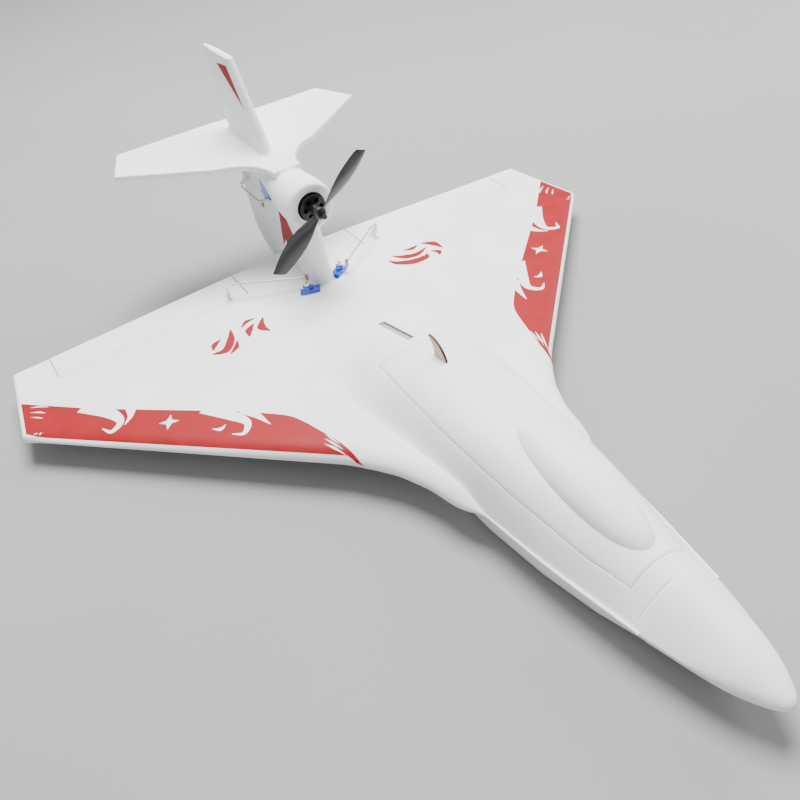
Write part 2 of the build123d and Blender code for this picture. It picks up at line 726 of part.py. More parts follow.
# -------------------------------------------------------------- servos ----
class Linkage:
    """Where one servo, its pushrod and its horn go."""

    def __init__(self, pin, hole, shaft_dir, case_top, leg_dir, turn=1):
        self.pin = Vector(*pin)                    # pushrod pivot on the servo arm
        self.hole = Vector(*hole)                  # hole in the control horn
        self.shaft = Vector(*shaft_dir)
        self.leg = Vector(*leg_dir)                # way from the rod's end to the horn
        line = self.hole - self.pin
        flat = (line - self.shaft * line.dot(self.shaft)).normalized()
        self.arm_dir = flat.cross(self.shaft) * turn
        centre = self.pin - self.arm_dir * ARM_REACH
        lift = case_top - centre.dot(self.shaft)
        self.centre = centre + self.shaft * lift   # shaft axis at the case's top
        self.case = Plane(origin=self.centre, x_dir=flat, z_dir=self.shaft)
        self.arm = Plane(origin=self.centre, x_dir=self.arm_dir, z_dir=self.shaft)


def rod_height():
    """Pushrod height over the servo case's top."""
    return ARM_LIFT + ARM_THICK + STOPPER_H / 2 + 0.3


def aileron_linkage(side):
    pin_xy = {1: (36.0, 236.0), -1: (-24.5, 240.8)}[side]
    case_top = deck_height(pin_xy[1]) - 1.0 + SERVO_PROUD
    x = side * HORN_X
    inner, outer = hinge_points()
    hinge = between(HORN_X, (inner.X, inner.Y), (outer.X, outer.Y))
    hole = (x, hinge + HORN_BACK, wing_top(HORN_X) + HORN_RISE)
    return Linkage((*pin_xy, case_top + rod_height()), hole, (0, 0, 1), case_top, (side, 0, 0))


def rudder_linkage():
    case_low = TAIL_SERVO_Z
    pin = (-TAIL_ROD_X, TAIL_SERVO_Y, case_low - rod_height())
    z = pin[2] + 6
    hole = (-TAIL_ROD_X, hinge_y(z) + HORN_BACK, z)
    return Linkage(pin, hole, (0, 0, -1), -case_low, (0, 0, 1))


def elevator_linkage():
    case_low = TAIL_SERVO_Z
    pin = (TAIL_ROD_X, TAIL_SERVO_Y, case_low - rod_height())
    hole = (ELEVATOR_HORN_X, ELEVATOR_HINGE_Y + HORN_BACK, STAB_Z - ELEVATOR_HORN_RISE)
    return Linkage(pin, hole, (0, 0, -1), -case_low, (1, 0, 0), turn=-1)


def servo(link):
    body = box((SERVO_L, SERVO_W, SERVO_H), (-SERVO_SHAFT_OFF, 0, -SERVO_H / 2))
    tab_z = SERVO_TAB_Z - SERVO_H + SERVO_TAB_T / 2
    tabs = box((SERVO_TAB_L, SERVO_W, SERVO_TAB_T), (-SERVO_SHAFT_OFF, 0, tab_z))
    for end in (-1, 1):
        x = -SERVO_SHAFT_OFF + end * (SERVO_TAB_L / 2 - SERVO_EAR)
        tabs = tabs - Pos(x, 0, tab_z) * Cylinder(SERVO_EAR_R, 2 * SERVO_TAB_T)
    boss = Pos(0, 0, SERVO_BOSS_H / 2) * Cylinder(SERVO_W / 2 - 0.2, SERVO_BOSS_H)
    small = Pos(-SERVO_GEAR_OFF, 0, SERVO_BOSS_H / 2) * Cylinder(SERVO_GEAR_R, SERVO_BOSS_H)
    spline = Pos(0, 0, SERVO_SPLINE_H / 2) * Cylinder(SERVO_SHAFT_R, SERVO_SPLINE_H)
    return link.case * (body + tabs + boss + small + spline)


def servo_pocket(link):
    """Room in the foam for the case, with space above it for the tabs and the arm."""
    body = box((SERVO_L + POCKET_GAP, SERVO_W + POCKET_GAP, SERVO_H + POCKET_GAP),
               (-SERVO_SHAFT_OFF, 0, -SERVO_H / 2))
    tab_z = SERVO_TAB_Z - SERVO_H
    size = (SERVO_TAB_L + POCKET_GAP, SERVO_W + POCKET_GAP, 20)
    above = box(size, (-SERVO_SHAFT_OFF, 0, tab_z + 10 - POCKET_GAP / 2))
    return link.case * (body + above)


def servo_arm(link):
    length = ARM_REACH + ARM_PAST
    hub = Pos(0, 0, ARM_LIFT + ARM_HUB_H / 2) * Cylinder(ARM_HUB_R, ARM_HUB_H)
    bar = box((length, ARM_WIDTH, ARM_THICK), (length / 2, 0, ARM_LIFT + ARM_THICK / 2))
    end = Pos(length, 0, ARM_LIFT + ARM_THICK / 2) * Cylinder(ARM_WIDTH / 2, ARM_THICK)
    arm = hub + bar + end
    arm = arm - Pos(0, 0, ARM_LIFT) * Cylinder(SERVO_SHAFT_R + SHAFT_FIT, 20)
    arm = arm - Pos(ARM_REACH, 0, ARM_LIFT) * Cylinder(PIN_R + PIN_FIT, 20)
    cap = Pos(0, 0, ARM_LIFT + ARM_HUB_H - ARM_CAP_H / 4) * Cylinder(ARM_HUB_R, ARM_CAP_H)
    return link.arm * (arm + cap - Pos(0, 0, ARM_LIFT) * Cylinder(ARM_SCREW_R + 0.1, 20))


def arm_screw(link):
    head_r, head_h = ARM_SCREW_HEAD
    seat = ARM_LIFT + ARM_HUB_H + ARM_CAP_H / 4
    head = Pos(0, 0, seat + head_h / 2) * Cylinder(head_r, head_h)
    shank = Pos(0, 0, seat - ARM_CAP_H / 2) * Cylinder(ARM_SCREW_R, ARM_CAP_H)
    return link.arm * (head + shank)


def stopper(link):
    """Brass barrel that clamps the pushrod, turning in the arm's outer hole."""
    low = ARM_LIFT + ARM_THICK + 0.3
    barrel = Pos(ARM_REACH, 0, low + STOPPER_H / 2) * Cylinder(STOPPER_R, STOPPER_H)
    pin = Pos(ARM_REACH, 0, low + 0.1 - STOPPER_PIN_H / 2) * Cylinder(PIN_R, STOPPER_PIN_H)
    screw_r, screw_h = STOPPER_SCREW
    screw = Pos(ARM_REACH, 0, low + STOPPER_H + screw_h / 2) * Cylinder(screw_r, screw_h)
    way = rod_way(link) * 8
    return link.arm * (barrel + pin + screw) - rod(link.pin - way, link.pin + way, ROD_R + ROD_FIT)


def rod_end(link):
    """Elbow beside the horn; the leg from it stops short of the plate."""
    return link.hole - link.leg * (HORN_THICK / 2 + OPEN_PIVOT_GAP + ROD_LEG)


def rod_way(link):
    return (rod_end(link) - link.pin).normalized()


def pushrod(link):
    elbow = rod_end(link)
    straight = rod(link.pin - rod_way(link) * ROD_TAIL, elbow, ROD_R)
    leg = rod(elbow, elbow + link.leg * ROD_LEG, ROD_R)
    return straight + Pos(elbow) * Sphere(ROD_R) + leg


def horn(link, foot, normal, along, fore):
    """Control horn on a surface: foot is the base's middle, fore the way from it to the hinge."""
    plane = Plane(origin=foot, x_dir=along, z_dir=normal)
    base = box((HORN_BASE_L, HORN_BASE_W, HORN_BASE_T), (0, 0, HORN_BASE_T / 2))
    reach = (link.hole - Vector(*foot)).dot(plane.x_dir)
    rise = (link.hole - Vector(*foot)).dot(plane.z_dir)
    root = fore * HORN_ROOT
    crest = [(reach + HORN_TIP, rise), (reach, rise + HORN_TIP), (reach - HORN_TIP, rise)]
    fin_points = [(-root, 0), (root, 0)] + crest
    face = make_face(Polyline(*[(x, 0, z) for x, z in fin_points], close=True))
    web = extrude(face, amount=HORN_THICK / 2, dir=(0, 1, 0), both=True)
    return plane * (base + web) - rod(link.hole - link.leg * 5, link.hole + link.leg * 5, ROD_R + 0.3)


def aileron_horn(link, side):
    foot_y = link.hole.Y - HORN_BACK + HORN_CLEAR["aileron"] + HORN_BASE_L / 2
    slope = (WING_TOP_ROOT - WING_TOP_TIP) / (SPAN / 2 - WING_ROOT_X)
    foot = (link.hole.X, foot_y, wing_top(HORN_X))
    return horn(link, foot, (side * slope, 0, 1), (0, -1, 0), 1)


def rudder_horn(link):
    foot = (-RUDDER_HALF, link.hole.Y - HORN_BACK + HORN_CLEAR["rudder"] + HORN_BASE_L / 2, link.hole.Z)
    return horn(link, foot, (-1, 0, 0), (0, -1, 0), 1)


def elevator_horn(link):
    foot = (link.hole.X, link.hole.Y - HORN_BACK + HORN_CLEAR["elevator"] + HORN_BASE_L / 2, STAB_Z)
    return horn(link, foot, (0, 0, -1), (0, -1, 0), 1)


# ----------------------------------------------------------- equipment ----
def tray():
    front = BAY_FRONT_Y + TRAY_FRONT_GAP
    rear = TRAY_REAR_Y - TRAY_FRONT_GAP
    z = BAY_FLOOR_Z + TRAY_THICK / 2
    return box((2 * TRAY_HALF, rear - front, TRAY_THICK), (0, (front + rear) / 2, z))


def battery():
    z = BAY_FLOOR_Z + TRAY_THICK + BATTERY[2] / 2
    pack = box(BATTERY, (0, BATTERY_FRONT_Y + BATTERY[1] / 2, z))
    return fillet(pack.edges().filter_by(Axis.Y), 3.0)


def strap():
    """Hook-and-loop band over the battery, its ends on the tray."""
    inner_wide = BATTERY[0] + 2 * STRAP_SLACK
    inner_tall = BATTERY[2] + STRAP_SLACK
    wide = inner_wide + 2 * STRAP_THICK
    tall = inner_tall + STRAP_THICK
    low = BAY_FLOOR_Z + TRAY_THICK
    y = BATTERY_FRONT_Y + BATTERY[1] / 2
    band = box((wide, STRAP_WIDTH, tall), (0, y, low + tall / 2))
    room = box((inner_wide, STRAP_WIDTH + 2, inner_tall), (0, y, low + inner_tall / 2))
    return band - room


def esc():
    return box(ESC, (-EQUIPMENT_X, BAY_REAR_Y - EQUIPMENT_GAP - ESC[1] / 2, BAY_FLOOR_Z + ESC[2] / 2))


def receiver():
    y = BAY_REAR_Y - EQUIPMENT_GAP - RECEIVER[1] / 2
    return box(RECEIVER, (EQUIPMENT_X, y, BAY_FLOOR_Z + RECEIVER[2] / 2))


def nose_cone():
    rings = []
    for y, half, top, low in NOSE_STATIONS:
        rim = Spline((-half, y, PARTING_Z), (0, y, top), (half, y, PARTING_Z), tangents=((0, 0, 1), (0, 0, -1)))
        keel = Spline((half, y, PARTING_Z), (0, y, low), (-half, y, PARTING_Z), tangents=((0, 0, -1), (0, 0, 1)))
        rings.append(make_face(Wire([rim, keel])))
    return loft(rings + [Vertex(0, NOSE_Y, NOSE_TIP_Z)])


# -------------------------------------------------------------- export ----
def build():
    deck, hatch, tab, wing, aileron = deck_and_wings()
    port, starboard = aileron_linkage(1), aileron_linkage(-1)
    tail_links = (rudder_linkage(), elevator_linkage())
    foot_room = Part()
    for link in (port, starboard):
        deck = deck - servo_pocket(link)
        foot_room = foot_room + servo_pocket(link)
    links = {
        "port_aileron": (port, aileron_horn(port, 1)),
        "starboard_aileron": (starboard, aileron_horn(starboard, -1)),
        "rudder": (tail_links[0], rudder_horn(tail_links[0])),
        "elevator": (tail_links[1], elevator_horn(tail_links[1])),
    }
    stab, elevator = stabilizer_and_elevator()
    mast = pylon() - foot_room
    for link in tail_links:
        mast = mast - servo_pocket(link)
    parts = {
        "hull": hull() - pylon_solid() - rudder_room(),
        "deck": deck - spar_hole(),
        "port_wing": wing - pylon_solid(),
        "starboard_wing": mirrored(wing - pylon_solid()),
        "port_aileron": aileron,
        "starboard_aileron": mirrored(aileron),
        "nose_cone": nose_cone(),
        "hatch": hatch,
        "latch_tab": tab,
        "hatch_magnets": Compound(magnets(HATCH_BASE_Z)),
        "deck_magnets": Compound(magnets(HATCH_BASE_Z - MAGNET_T)),
        "pylon": mast,
        "fin": fin(),
        "stabilizer": stab,
        "elevator": elevator,
        "rudder": rudder(),
        "wing_spar": rod((-SPAR_HALF, SPAR_Y, SPAR_Z), (SPAR_HALF, SPAR_Y, SPAR_Z), SPAR_R),
        "stab_spar": stab_spar(STAB_SPAR_R),
        "motor_mount": motor_mount(),
        "mount_screws": Compound(mount_screws()),
        "motor_stator": motor_stator(),
        "motor_bell": motor_bell(),
        "prop_adapter": prop_adapter(),
        "propeller": propeller(),
        "prop_nut": prop_nut(),
        "battery_tray": tray(),
        "battery": battery(),
        "battery_strap": strap(),
        "speed_controller": esc(),
        "receiver": receiver(),
    }
    for name, (link, lever) in links.items():
        parts[name + "_servo"] = servo(link)
        parts[name + "_servo_arm"] = servo_arm(link)
        parts[name + "_arm_screw"] = arm_screw(link)
        parts[name + "_pushrod"] = pushrod(link)
        parts[name + "_rod_stopper"] = stopper(link)
        parts[name + "_horn"] = lever
    return parts


os.makedirs("parts", exist_ok=True)
for node, shape in build().items():
    export_step(shape, f"parts/{node}.step")
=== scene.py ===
"""Looks of the foam seaplane: bead-foam shells, red vinyl, motor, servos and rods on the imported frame."""
import math
import bpy
import bmesh
import numpy as np
from mathutils import Vector, Matrix
from mathutils.bvhtree import BVHTree
from mathutils.geometry import delaunay_2d_cdt


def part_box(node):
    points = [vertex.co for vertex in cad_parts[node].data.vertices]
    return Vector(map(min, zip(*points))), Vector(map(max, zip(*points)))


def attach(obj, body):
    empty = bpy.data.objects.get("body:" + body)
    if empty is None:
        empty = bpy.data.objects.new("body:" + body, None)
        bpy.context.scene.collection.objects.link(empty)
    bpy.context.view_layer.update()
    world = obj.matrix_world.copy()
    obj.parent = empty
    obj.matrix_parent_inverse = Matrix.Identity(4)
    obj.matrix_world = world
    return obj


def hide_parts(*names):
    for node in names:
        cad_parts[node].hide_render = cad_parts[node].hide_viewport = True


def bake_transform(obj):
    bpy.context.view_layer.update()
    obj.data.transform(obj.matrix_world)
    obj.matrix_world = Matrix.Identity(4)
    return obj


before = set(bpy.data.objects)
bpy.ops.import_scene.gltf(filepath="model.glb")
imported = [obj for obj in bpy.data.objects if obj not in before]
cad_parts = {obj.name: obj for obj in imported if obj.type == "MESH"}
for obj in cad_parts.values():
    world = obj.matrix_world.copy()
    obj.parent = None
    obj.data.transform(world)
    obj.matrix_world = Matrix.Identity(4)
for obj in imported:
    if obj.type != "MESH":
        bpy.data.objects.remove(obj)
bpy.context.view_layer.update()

# Sizes below are in millimetres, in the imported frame: +Z up, nose towards -Y, port +X.
MM = 0.001
SPAN_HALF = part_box("port_wing")[1].x / MM
TE_Y = 354.0                    # trailing edge of the wings
ROOT_X = 44.0
TIP_LE_Y = 219.0                # where the leading edge meets the tip
TIP_RAKE = 16.0
CHINE_Z = 40.0                  # parting line of the hull and the deck
LIP = 2.2                       # the chine lip stands out from the deck's side
NOSE_TIP = -514.0
DECK_FRONT = -401.0
STRAKE_END = -226.0             # the chine lip starts to grow into the wing here
HATCH_FRONT = -374.0
HATCH_SEAT_Z = 52.0
SHORT_SEAM_Y = -394.0           # a short seam ahead of the hatch, on the starboard side
SEAM_DEPTH = 0.8
GAP = 0.6                       # crease between a surface and its panel
CAMERA_AT = (-0.353388, -0.646571, 0.644293)
CAMERA_TURN = (-26.357, 40.889, -8.983)


# ------------------------------------------------------------- camera ----
def camera():
    """Seen from ahead, above and to starboard, leaning over to the left."""
    az, el, roll = (math.radians(angle) for angle in CAMERA_TURN)
    back = Vector((math.sin(az) * math.cos(el), -math.cos(az) * math.cos(el), math.sin(el)))
    right = (-back).cross(Vector((0, 0, 1))).normalized()
    up = right.cross(-back)
    leaning_right = right * math.cos(roll) + up * math.sin(roll)
    leaning_up = -right * math.sin(roll) + up * math.cos(roll)
    data = bpy.data.cameras.new("camera")
    data.lens, data.sensor_width = 36.0, 36.0
    data.clip_start, data.clip_end = 0.01, 50.0
    cam = bpy.data.objects.new("camera", data)
    bpy.context.scene.collection.objects.link(cam)
    turn = Matrix((leaning_right, leaning_up, back)).transposed().to_4x4()
    cam.matrix_world = Matrix.Translation(CAMERA_AT) @ turn
    bpy.context.scene.camera = cam


camera()


# ---------------------------------------------------------- materials ----
class Nodes:
    """Short hand for building one procedural material."""

    def __init__(self, name):
        self.mat = bpy.data.materials.new(name)
        self.mat.use_nodes = True
        self.tree = self.mat.node_tree
        self.tree.nodes.clear()
        self.out = self.add("ShaderNodeOutputMaterial")
        self.bsdf = self.add("ShaderNodeBsdfPrincipled")
        self.link(self.bsdf, "BSDF", self.out, "Surface")
        self.where = self.add("ShaderNodeTexCoord")

    def add(self, kind, **values):
        node = self.tree.nodes.new(kind)
        for key, value in values.items():
            setattr(node, key, value)
        return node

    def link(self, a, out, b, into):
        self.tree.links.new(a.outputs[out], b.inputs[into])

    def set(self, **values):
        names = {"rough": "Roughness", "metal": "Metallic", "coat": "Coat Weight",
                 "spec": "Specular IOR Level", "glass": "Transmission Weight"}
        for key, value in values.items():
            self.bsdf.inputs[names[key]].default_value = value
        return self

    def noise(self, scale, detail=4.0, rough=0.55, stretch=None):
        node = self.add("ShaderNodeTexNoise")
        node.inputs["Scale"].default_value = scale
        node.inputs["Detail"].default_value = detail
        node.inputs["Roughness"].default_value = rough
        self.place(node, stretch)
        return node

    def place(self, node, stretch=None):
        if stretch is None:
            self.link(self.where, "Object", node, "Vector")
        else:
            mapping = self.add("ShaderNodeMapping")
            mapping.inputs["Scale"].default_value = stretch
            self.link(self.where, "Object", mapping, "Vector")
            self.link(mapping, "Vector", node, "Vector")

    def ramp(self, source, out, stops):
        node = self.add("ShaderNodeValToRGB")
        while len(node.color_ramp.elements) < len(stops):
            node.color_ramp.elements.new(0.5)
        for element, (place, colour) in zip(node.color_ramp.elements, stops):
            element.position = place
            element.color = (*colour, 1)
        self.link(source, out, node, "Fac")
        return node

    def span(self, source, out, low, high, a, b):
        node = self.add("ShaderNodeMapRange")
        for key, value in zip(("From Min", "From Max", "To Min", "To Max"), (low, high, a, b)):
            node.inputs[key].default_value = value
        self.link(source, out, node, "Value")
        return node

    def colour(self, node, out="Color"):
        self.link(node, out, self.bsdf, "Base Color")
        return self

    def rough_from(self, node, out):
        self.link(node, out, self.bsdf, "Roughness")
        return self

    def bump(self, node, out, distance, strength=1.0):
        relief = self.add("ShaderNodeBump")
        relief.inputs["Distance"].default_value = distance
        relief.inputs["Strength"].default_value = strength
        self.link(node, out, relief, "Height")
        if self.bsdf.inputs["Normal"].is_linked:
            earlier = self.bsdf.inputs["Normal"].links[0].from_node
            self.link(earlier, "Normal", relief, "Normal")
        self.link(relief, "Normal", self.bsdf, "Normal")
        return self


def foam(name, bright=1.0):
    """White bead foam: faint bead outlines, smoother moulded skin in patches, a little soiling."""
    m = Nodes(name)
    patches = m.noise(9.0, 5.0, 0.6)
    low = (0.79 * bright, 0.80 * bright, 0.80 * bright)
    high = (0.89 * bright, 0.895 * bright, 0.895 * bright)
    tone = m.ramp(patches, "Fac", [(0.32, low), (0.62, high)])
    beads = m.add("ShaderNodeTexVoronoi", feature="DISTANCE_TO_EDGE")
    beads.inputs["Scale"].default_value = 330.0
    m.place(beads)
    edge = m.span(beads, "Distance", 0.0, 0.16, 0.0, 1.0)
    shade = m.add("ShaderNodeMix", data_type="RGBA")
    shade.blend_type = "MULTIPLY"
    shade.inputs["Factor"].default_value = 1.0
    line = m.ramp(edge, "Result", [(0.0, (0.955, 0.957, 0.96)), (0.7, (1, 1, 1))])
    m.link(tone, "Color", shade, "A")
    m.link(line, "Color", shade, "B")
    m.link(shade, "Result", m.bsdf, "Base Color")
    m.set(spec=0.4)
    m.rough_from(m.span(patches, "Fac", 0.3, 0.7, 0.50, 0.66), "Result")
    m.bump(edge, "Result", 0.00012, 0.55)
    fine = m.noise(900.0, 3.0)
    m.bump(fine, "Fac", 0.00006, 0.5)
    wave = m.noise(55.0, 3.0)
    m.bump(wave, "Fac", 0.0005, 0.35)
    return m.mat


def cut_foam(name, dark=1.0):
    """Foam with open bead cells, greyer than the moulded skin. A dark factor below 1 deepens the grey as
    painted shade.
    """
    m = Nodes(name)
    cells = m.add("ShaderNodeTexVoronoi", feature="DISTANCE_TO_EDGE")
    cells.inputs["Scale"].default_value = 300.0
    m.place(cells)
    low, high = ([c * dark for c in tone] for tone in ((0.55, 0.56, 0.57), (0.72, 0.73, 0.74)))
    m.colour(m.ramp(cells, "Distance", [(0.0, low), (0.25, high)]))
    m.set(rough=0.8)
    m.bump(cells, "Distance", 0.0004, 0.8)
    return m.mat


def vinyl():
    """Thin red film that follows the foam's relief."""
    m = Nodes("red_vinyl")
    grain = m.noise(40.0, 3.0)
    m.colour(m.ramp(grain, "Fac", [(0.3, (0.25, 0.0004, 0.003)), (0.7, (0.30, 0.0008, 0.005))]))
    m.set(spec=0.25)
    m.rough_from(m.span(grain, "Fac", 0.3, 0.7, 0.48, 0.6), "Result")
    m.bump(m.noise(330.0, 2.0), "Fac", 0.00007, 0.4)
    return m.mat


def plastic(name, low, high, rough, grain, depth, **extra):
    """Moulded plastic or film: two close tones and a fine grain of the given scale and depth."""
    m = Nodes(name)
    tone = m.noise(35.0, 4.0)
    m.colour(m.ramp(tone, "Fac", [(0.3, low), (0.7, high)]))
    m.rough_from(m.span(tone, "Fac", 0.3, 0.7, *rough), "Result")
    m.bump(m.noise(grain, 3.0), "Fac", depth, 0.6)
    m.set(**extra)
    return m.mat


def metal(name, low, high, rough=(0.22, 0.36)):
    """Bare metal between two tones."""
    m = Nodes(name)
    streak = m.noise(240.0, 4.0, 0.6)
    m.colour(m.ramp(streak, "Fac", [(0.3, low), (0.7, high)]))
    m.rough_from(m.span(streak, "Fac", 0.3, 0.7, *rough), "Result")
    m.bump(streak, "Fac", 0.00003, 0.5)
    m.set(metal=1.0)
    return m.mat


def plywood():
    """Thin birch ply: pale faces with grain."""
    m = Nodes("plywood_face")
    grain = m.noise(120.0, 6.0, 0.65, (0.4, 1.0, 6.0))
    m.colour(m.ramp(grain, "Fac", [(0.3, (0.62, 0.40, 0.25)), (0.7, (0.80, 0.62, 0.47))]))
    m.rough_from(m.span(grain, "Fac", 0.3, 0.7, 0.55, 0.75), "Result")
    m.bump(grain, "Fac", 0.0001, 0.5)
    return m.mat


def weave(name, scale=700.0):
    """Dark crossed bands, for carbon tube and webbing."""
    m = Nodes(name)
    across = m.add("ShaderNodeTexWave", bands_direction="X")
    along = m.add("ShaderNodeTexWave", bands_direction="Y")
    both = m.add("ShaderNodeMath", operation="MULTIPLY")
    for wave in (across, along):
        wave.inputs["Scale"].default_value = scale
        m.place(wave)
    m.link(across, "Fac", both, 0)
    m.link(along, "Fac", both, 1)
    m.colour(m.ramp(both, "Value", [(0.1, (0.012, 0.012, 0.013)), (0.8, (0.05, 0.05, 0.055))]))
    m.rough_from(m.span(both, "Value", 0.0, 1.0, 0.34, 0.6), "Result")
    m.bump(both, "Value", 0.00008, 0.5)
    return m.mat


WHITE = foam("white_foam")
WEB = foam("hinge_foam", 0.97)
CUT = cut_foam("cut_foam")
# cut foam darkened to 0.6: painted shade for the inside of the deck's slot
SLOT_SHADE_FOAM = cut_foam("recess_foam_painted_shade", 0.6)
RED = vinyl()
BLACK = plastic("black_nylon", (0.010, 0.010, 0.011), (0.022, 0.022, 0.024), (0.3, 0.46), 500.0, 0.00004,
                coat=0.15)
BELL = plastic("anodised_black", (0.008, 0.008, 0.009), (0.018, 0.018, 0.02), (0.24, 0.38), 500.0, 0.00002,
               metal=0.55)
GREY_METAL = metal("machined_grey", (0.22, 0.22, 0.23), (0.36, 0.36, 0.37))
STEEL = metal("steel_wire", (0.30, 0.29, 0.28), (0.50, 0.49, 0.47))
BRASS = metal("brass", (0.27, 0.20, 0.11), (0.44, 0.34, 0.20), (0.25, 0.42))
WINDING = metal("winding_copper", (0.020, 0.012, 0.009), (0.055, 0.030, 0.020), (0.35, 0.5))
BLUE = plastic("translucent_blue", (0.012, 0.06, 0.55), (0.03, 0.13, 0.78), (0.12, 0.24), 300.0, 0.00003,
               glass=0.25, coat=0.4)
ARM_WHITE = plastic("white_nylon", (0.70, 0.70, 0.67), (0.80, 0.80, 0.78), (0.35, 0.5), 400.0, 0.00004)
PLY = plywood()
BURNT = plastic("burnt_edge", (0.030, 0.014, 0.008), (0.075, 0.034, 0.018), (0.6, 0.85), 900.0, 0.00012)
CARBON = weave("carbon_tube")
STRAP = weave("strap_webbing", 420.0)
WRAP = plastic("battery_wrap", (0.02, 0.035, 0.10), (0.035, 0.06, 0.16), (0.28, 0.42), 260.0, 0.00006)
BOARD = plastic("shrink_wrap", (0.014, 0.014, 0.016), (0.03, 0.03, 0.034), (0.3, 0.42), 240.0, 0.0001)
MAGNET = metal("nickel_magnet", (0.55, 0.54, 0.52), (0.72, 0.71, 0.69), (0.15, 0.25))


# ------------------------------------------------------- mesh helpers ----
def make(name, verts, faces, material):
    """A mesh object from millimetre points."""
    mesh = bpy.data.meshes.new(name)
    mesh.from_pydata([tuple(c * MM for c in v) for v in verts], [], faces)
    mesh.materials.append(material)
    obj = bpy.data.objects.new(name, mesh)
    bpy.context.scene.collection.objects.link(obj)
    return obj


def outward(obj):
    """Face normals turned to the outside."""
    bm = bmesh.new()
    bm.from_mesh(obj.data)
    bmesh.ops.recalc_face_normals(bm, faces=bm.faces)
    bm.to_mesh(obj.data)
    bm.free()
    return obj


def soft(obj, angle=38.0):
    """Smooth shading that keeps edges sharper than the angle."""
    obj.data.shade_smooth()
    obj.data.set_sharp_from_angle(angle=math.radians(angle))
    return obj


def apply(obj, kind, **values):
    """The result of one modifier, written into the mesh."""
    modifier = obj.modifiers.new(kind, kind)
    for key, value in values.items():
        setattr(modifier, key, value)
    bpy.context.view_layer.update()
    made = bpy.data.meshes.new_from_object(obj.evaluated_get(bpy.context.evaluated_depsgraph_get()))
    obj.modifiers.clear()
    old = obj.data
    obj.data = made
    bpy.data.meshes.remove(old)
    return obj


def boolean(obj, cutter, operation):
    """The cutter is used up."""
    apply(obj, "BOOLEAN", object=cutter, operation=operation, solver="MANIFOLD")
    bpy.data.objects.remove(cutter)


def twin(obj, name):
    """A separate copy of an object."""
    other = bpy.data.objects.new(name, obj.data.copy())
    bpy.context.scene.collection.objects.link(other)
    return other


def mirrored(obj, name):
    """A starboard copy of a port piece."""
    other = twin(obj, name)
    other.data.transform(Matrix.Scale(-1, 4, (1, 0, 0)))
    other.data.flip_normals()
    return other


def prism(points, push):
    """A closed outline of 3-D points, pushed along a vector."""
    n = len(points)
    far = [tuple(a + b for a, b in zip(p, push)) for p in points]
    faces = [list(range(n)), list(range(2 * n - 1, n - 1, -1))]
    faces += [[i, (i + 1) % n, n + (i + 1) % n, n + i] for i in range(n)]
    return outward(make("cutter", [tuple(p) for p in points] + far, faces, WHITE))


def plan_prism(points, z0, z1):
    """A plan outline between two heights."""
    return prism([(x, y, z0) for x, y in points], (0, 0, z1 - z0))


def box(x, y, z):
    """A block between pairs of limits."""
    return plan_prism([(x[0], y[0]), (x[1], y[0]), (x[1], y[1]), (x[0], y[1])], *z)


def circle(count):
    """Angles of a full turn, evenly spaced."""
    return np.linspace(0, 2 * math.pi, count, endpoint=False)


def ring_about_y(y, radius, height, count):
    """A circle of points across the Y axis."""
    return [(radius * math.cos(a), y, height + radius * math.sin(a)) for a in circle(count)]


def loft(name, rings, material):
    """A closed skin through rings of equal length."""
    count = len(rings[0])
    verts = [p for ring in rings for p in ring]
    faces = []
    for k in range(len(rings) - 1):
        a, b = k * count, (k + 1) * count
        faces += [[a + i, a + (i + 1) % count, b + (i + 1) % count, b + i] for i in range(count)]
    last = (len(rings) - 1) * count
    faces += [list(range(count - 1, -1, -1)), [last + i for i in range(count)]]
    return outward(make(name, verts, faces, material))


def place(obj, body, slot, *nodes):
    """The piece rides a body and replaces the CAD nodes named. The slot argument is not used."""
    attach(obj, body)
    if nodes:
        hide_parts(*nodes)
    return obj


# -------------------------------------------------- shape of the foam ----
# y, crown height, half width of the deck's foot, foot height, fullness of the section
CROWN = [(DECK_FRONT, 73, 45.5, 40, 1.75), (HATCH_FRONT, 79, 50, 40, 1.95), (-330, 86, 57, 40, 2.5),
         (-288, 91, 62.5, 40, 3.1), (-244, 95, 66.5, 41, 3.6), (-189, 98, 72, 43, 4.0),
         (-130, 99, 76, 46, 3.7), (-58, 97, 84, 48, 2.7), (10, 89, 92, 46, 1.9), (86, 70, 88, 44, 1.8),
         (236, 57.5, 76, 40, 1.8), (320, 55, 70, 40, 1.8), (380, 54.5, 66, 46, 1.8)]
# y, half width of the outline ahead of the leading edge's straight run
STRAKE = [(DECK_FRONT, 45.5 + LIP), (HATCH_FRONT, 50 + LIP), (-330, 57 + LIP), (-288, 62.5 + LIP),
          (-244, 66.5 + LIP), (-216, 69 + LIP), (-206, 79), (-190, 85), (-154, 92.5), (-118, 107), (-95, 122),
          (-68, 142)]
# y, half width of the hatch
HATCH = [(HATCH_FRONT, 31), (-330, 41), (-288, 46), (-244, 51), (-189, 55), (-130, 56.5), (-58, 54.5),
         (2, 49), (12, 48)]


def smooth_table(table, column, width=14.0):
    """A table column as a smooth function of y."""
    ys = np.arange(-460.0, 460.0, 2.0)
    raw = np.interp(ys, [r[0] for r in table], [r[column] for r in table])
    reach = np.arange(-60.0, 62.0, 2.0)
    bell = np.exp(-0.5 * (reach / width) ** 2)
    padded = np.concatenate([2 * raw[0] - raw[30:0:-1], raw, 2 * raw[-1] - raw[-2:-32:-1]])
    return ys, np.convolve(padded, bell / bell.sum(), "valid")


CROWN_FUNCTIONS = [smooth_table(CROWN, k) for k in (1, 2, 3, 4)]
HATCH_FUNCTION = smooth_table(HATCH, 1, 8.0)


def crown(y):
    """Crown height, foot's half width, foot height and fullness at a station."""
    return [np.interp(y, *f) for f in CROWN_FUNCTIONS]


def hatch_half(y):
    return np.interp(y, *HATCH_FUNCTION)


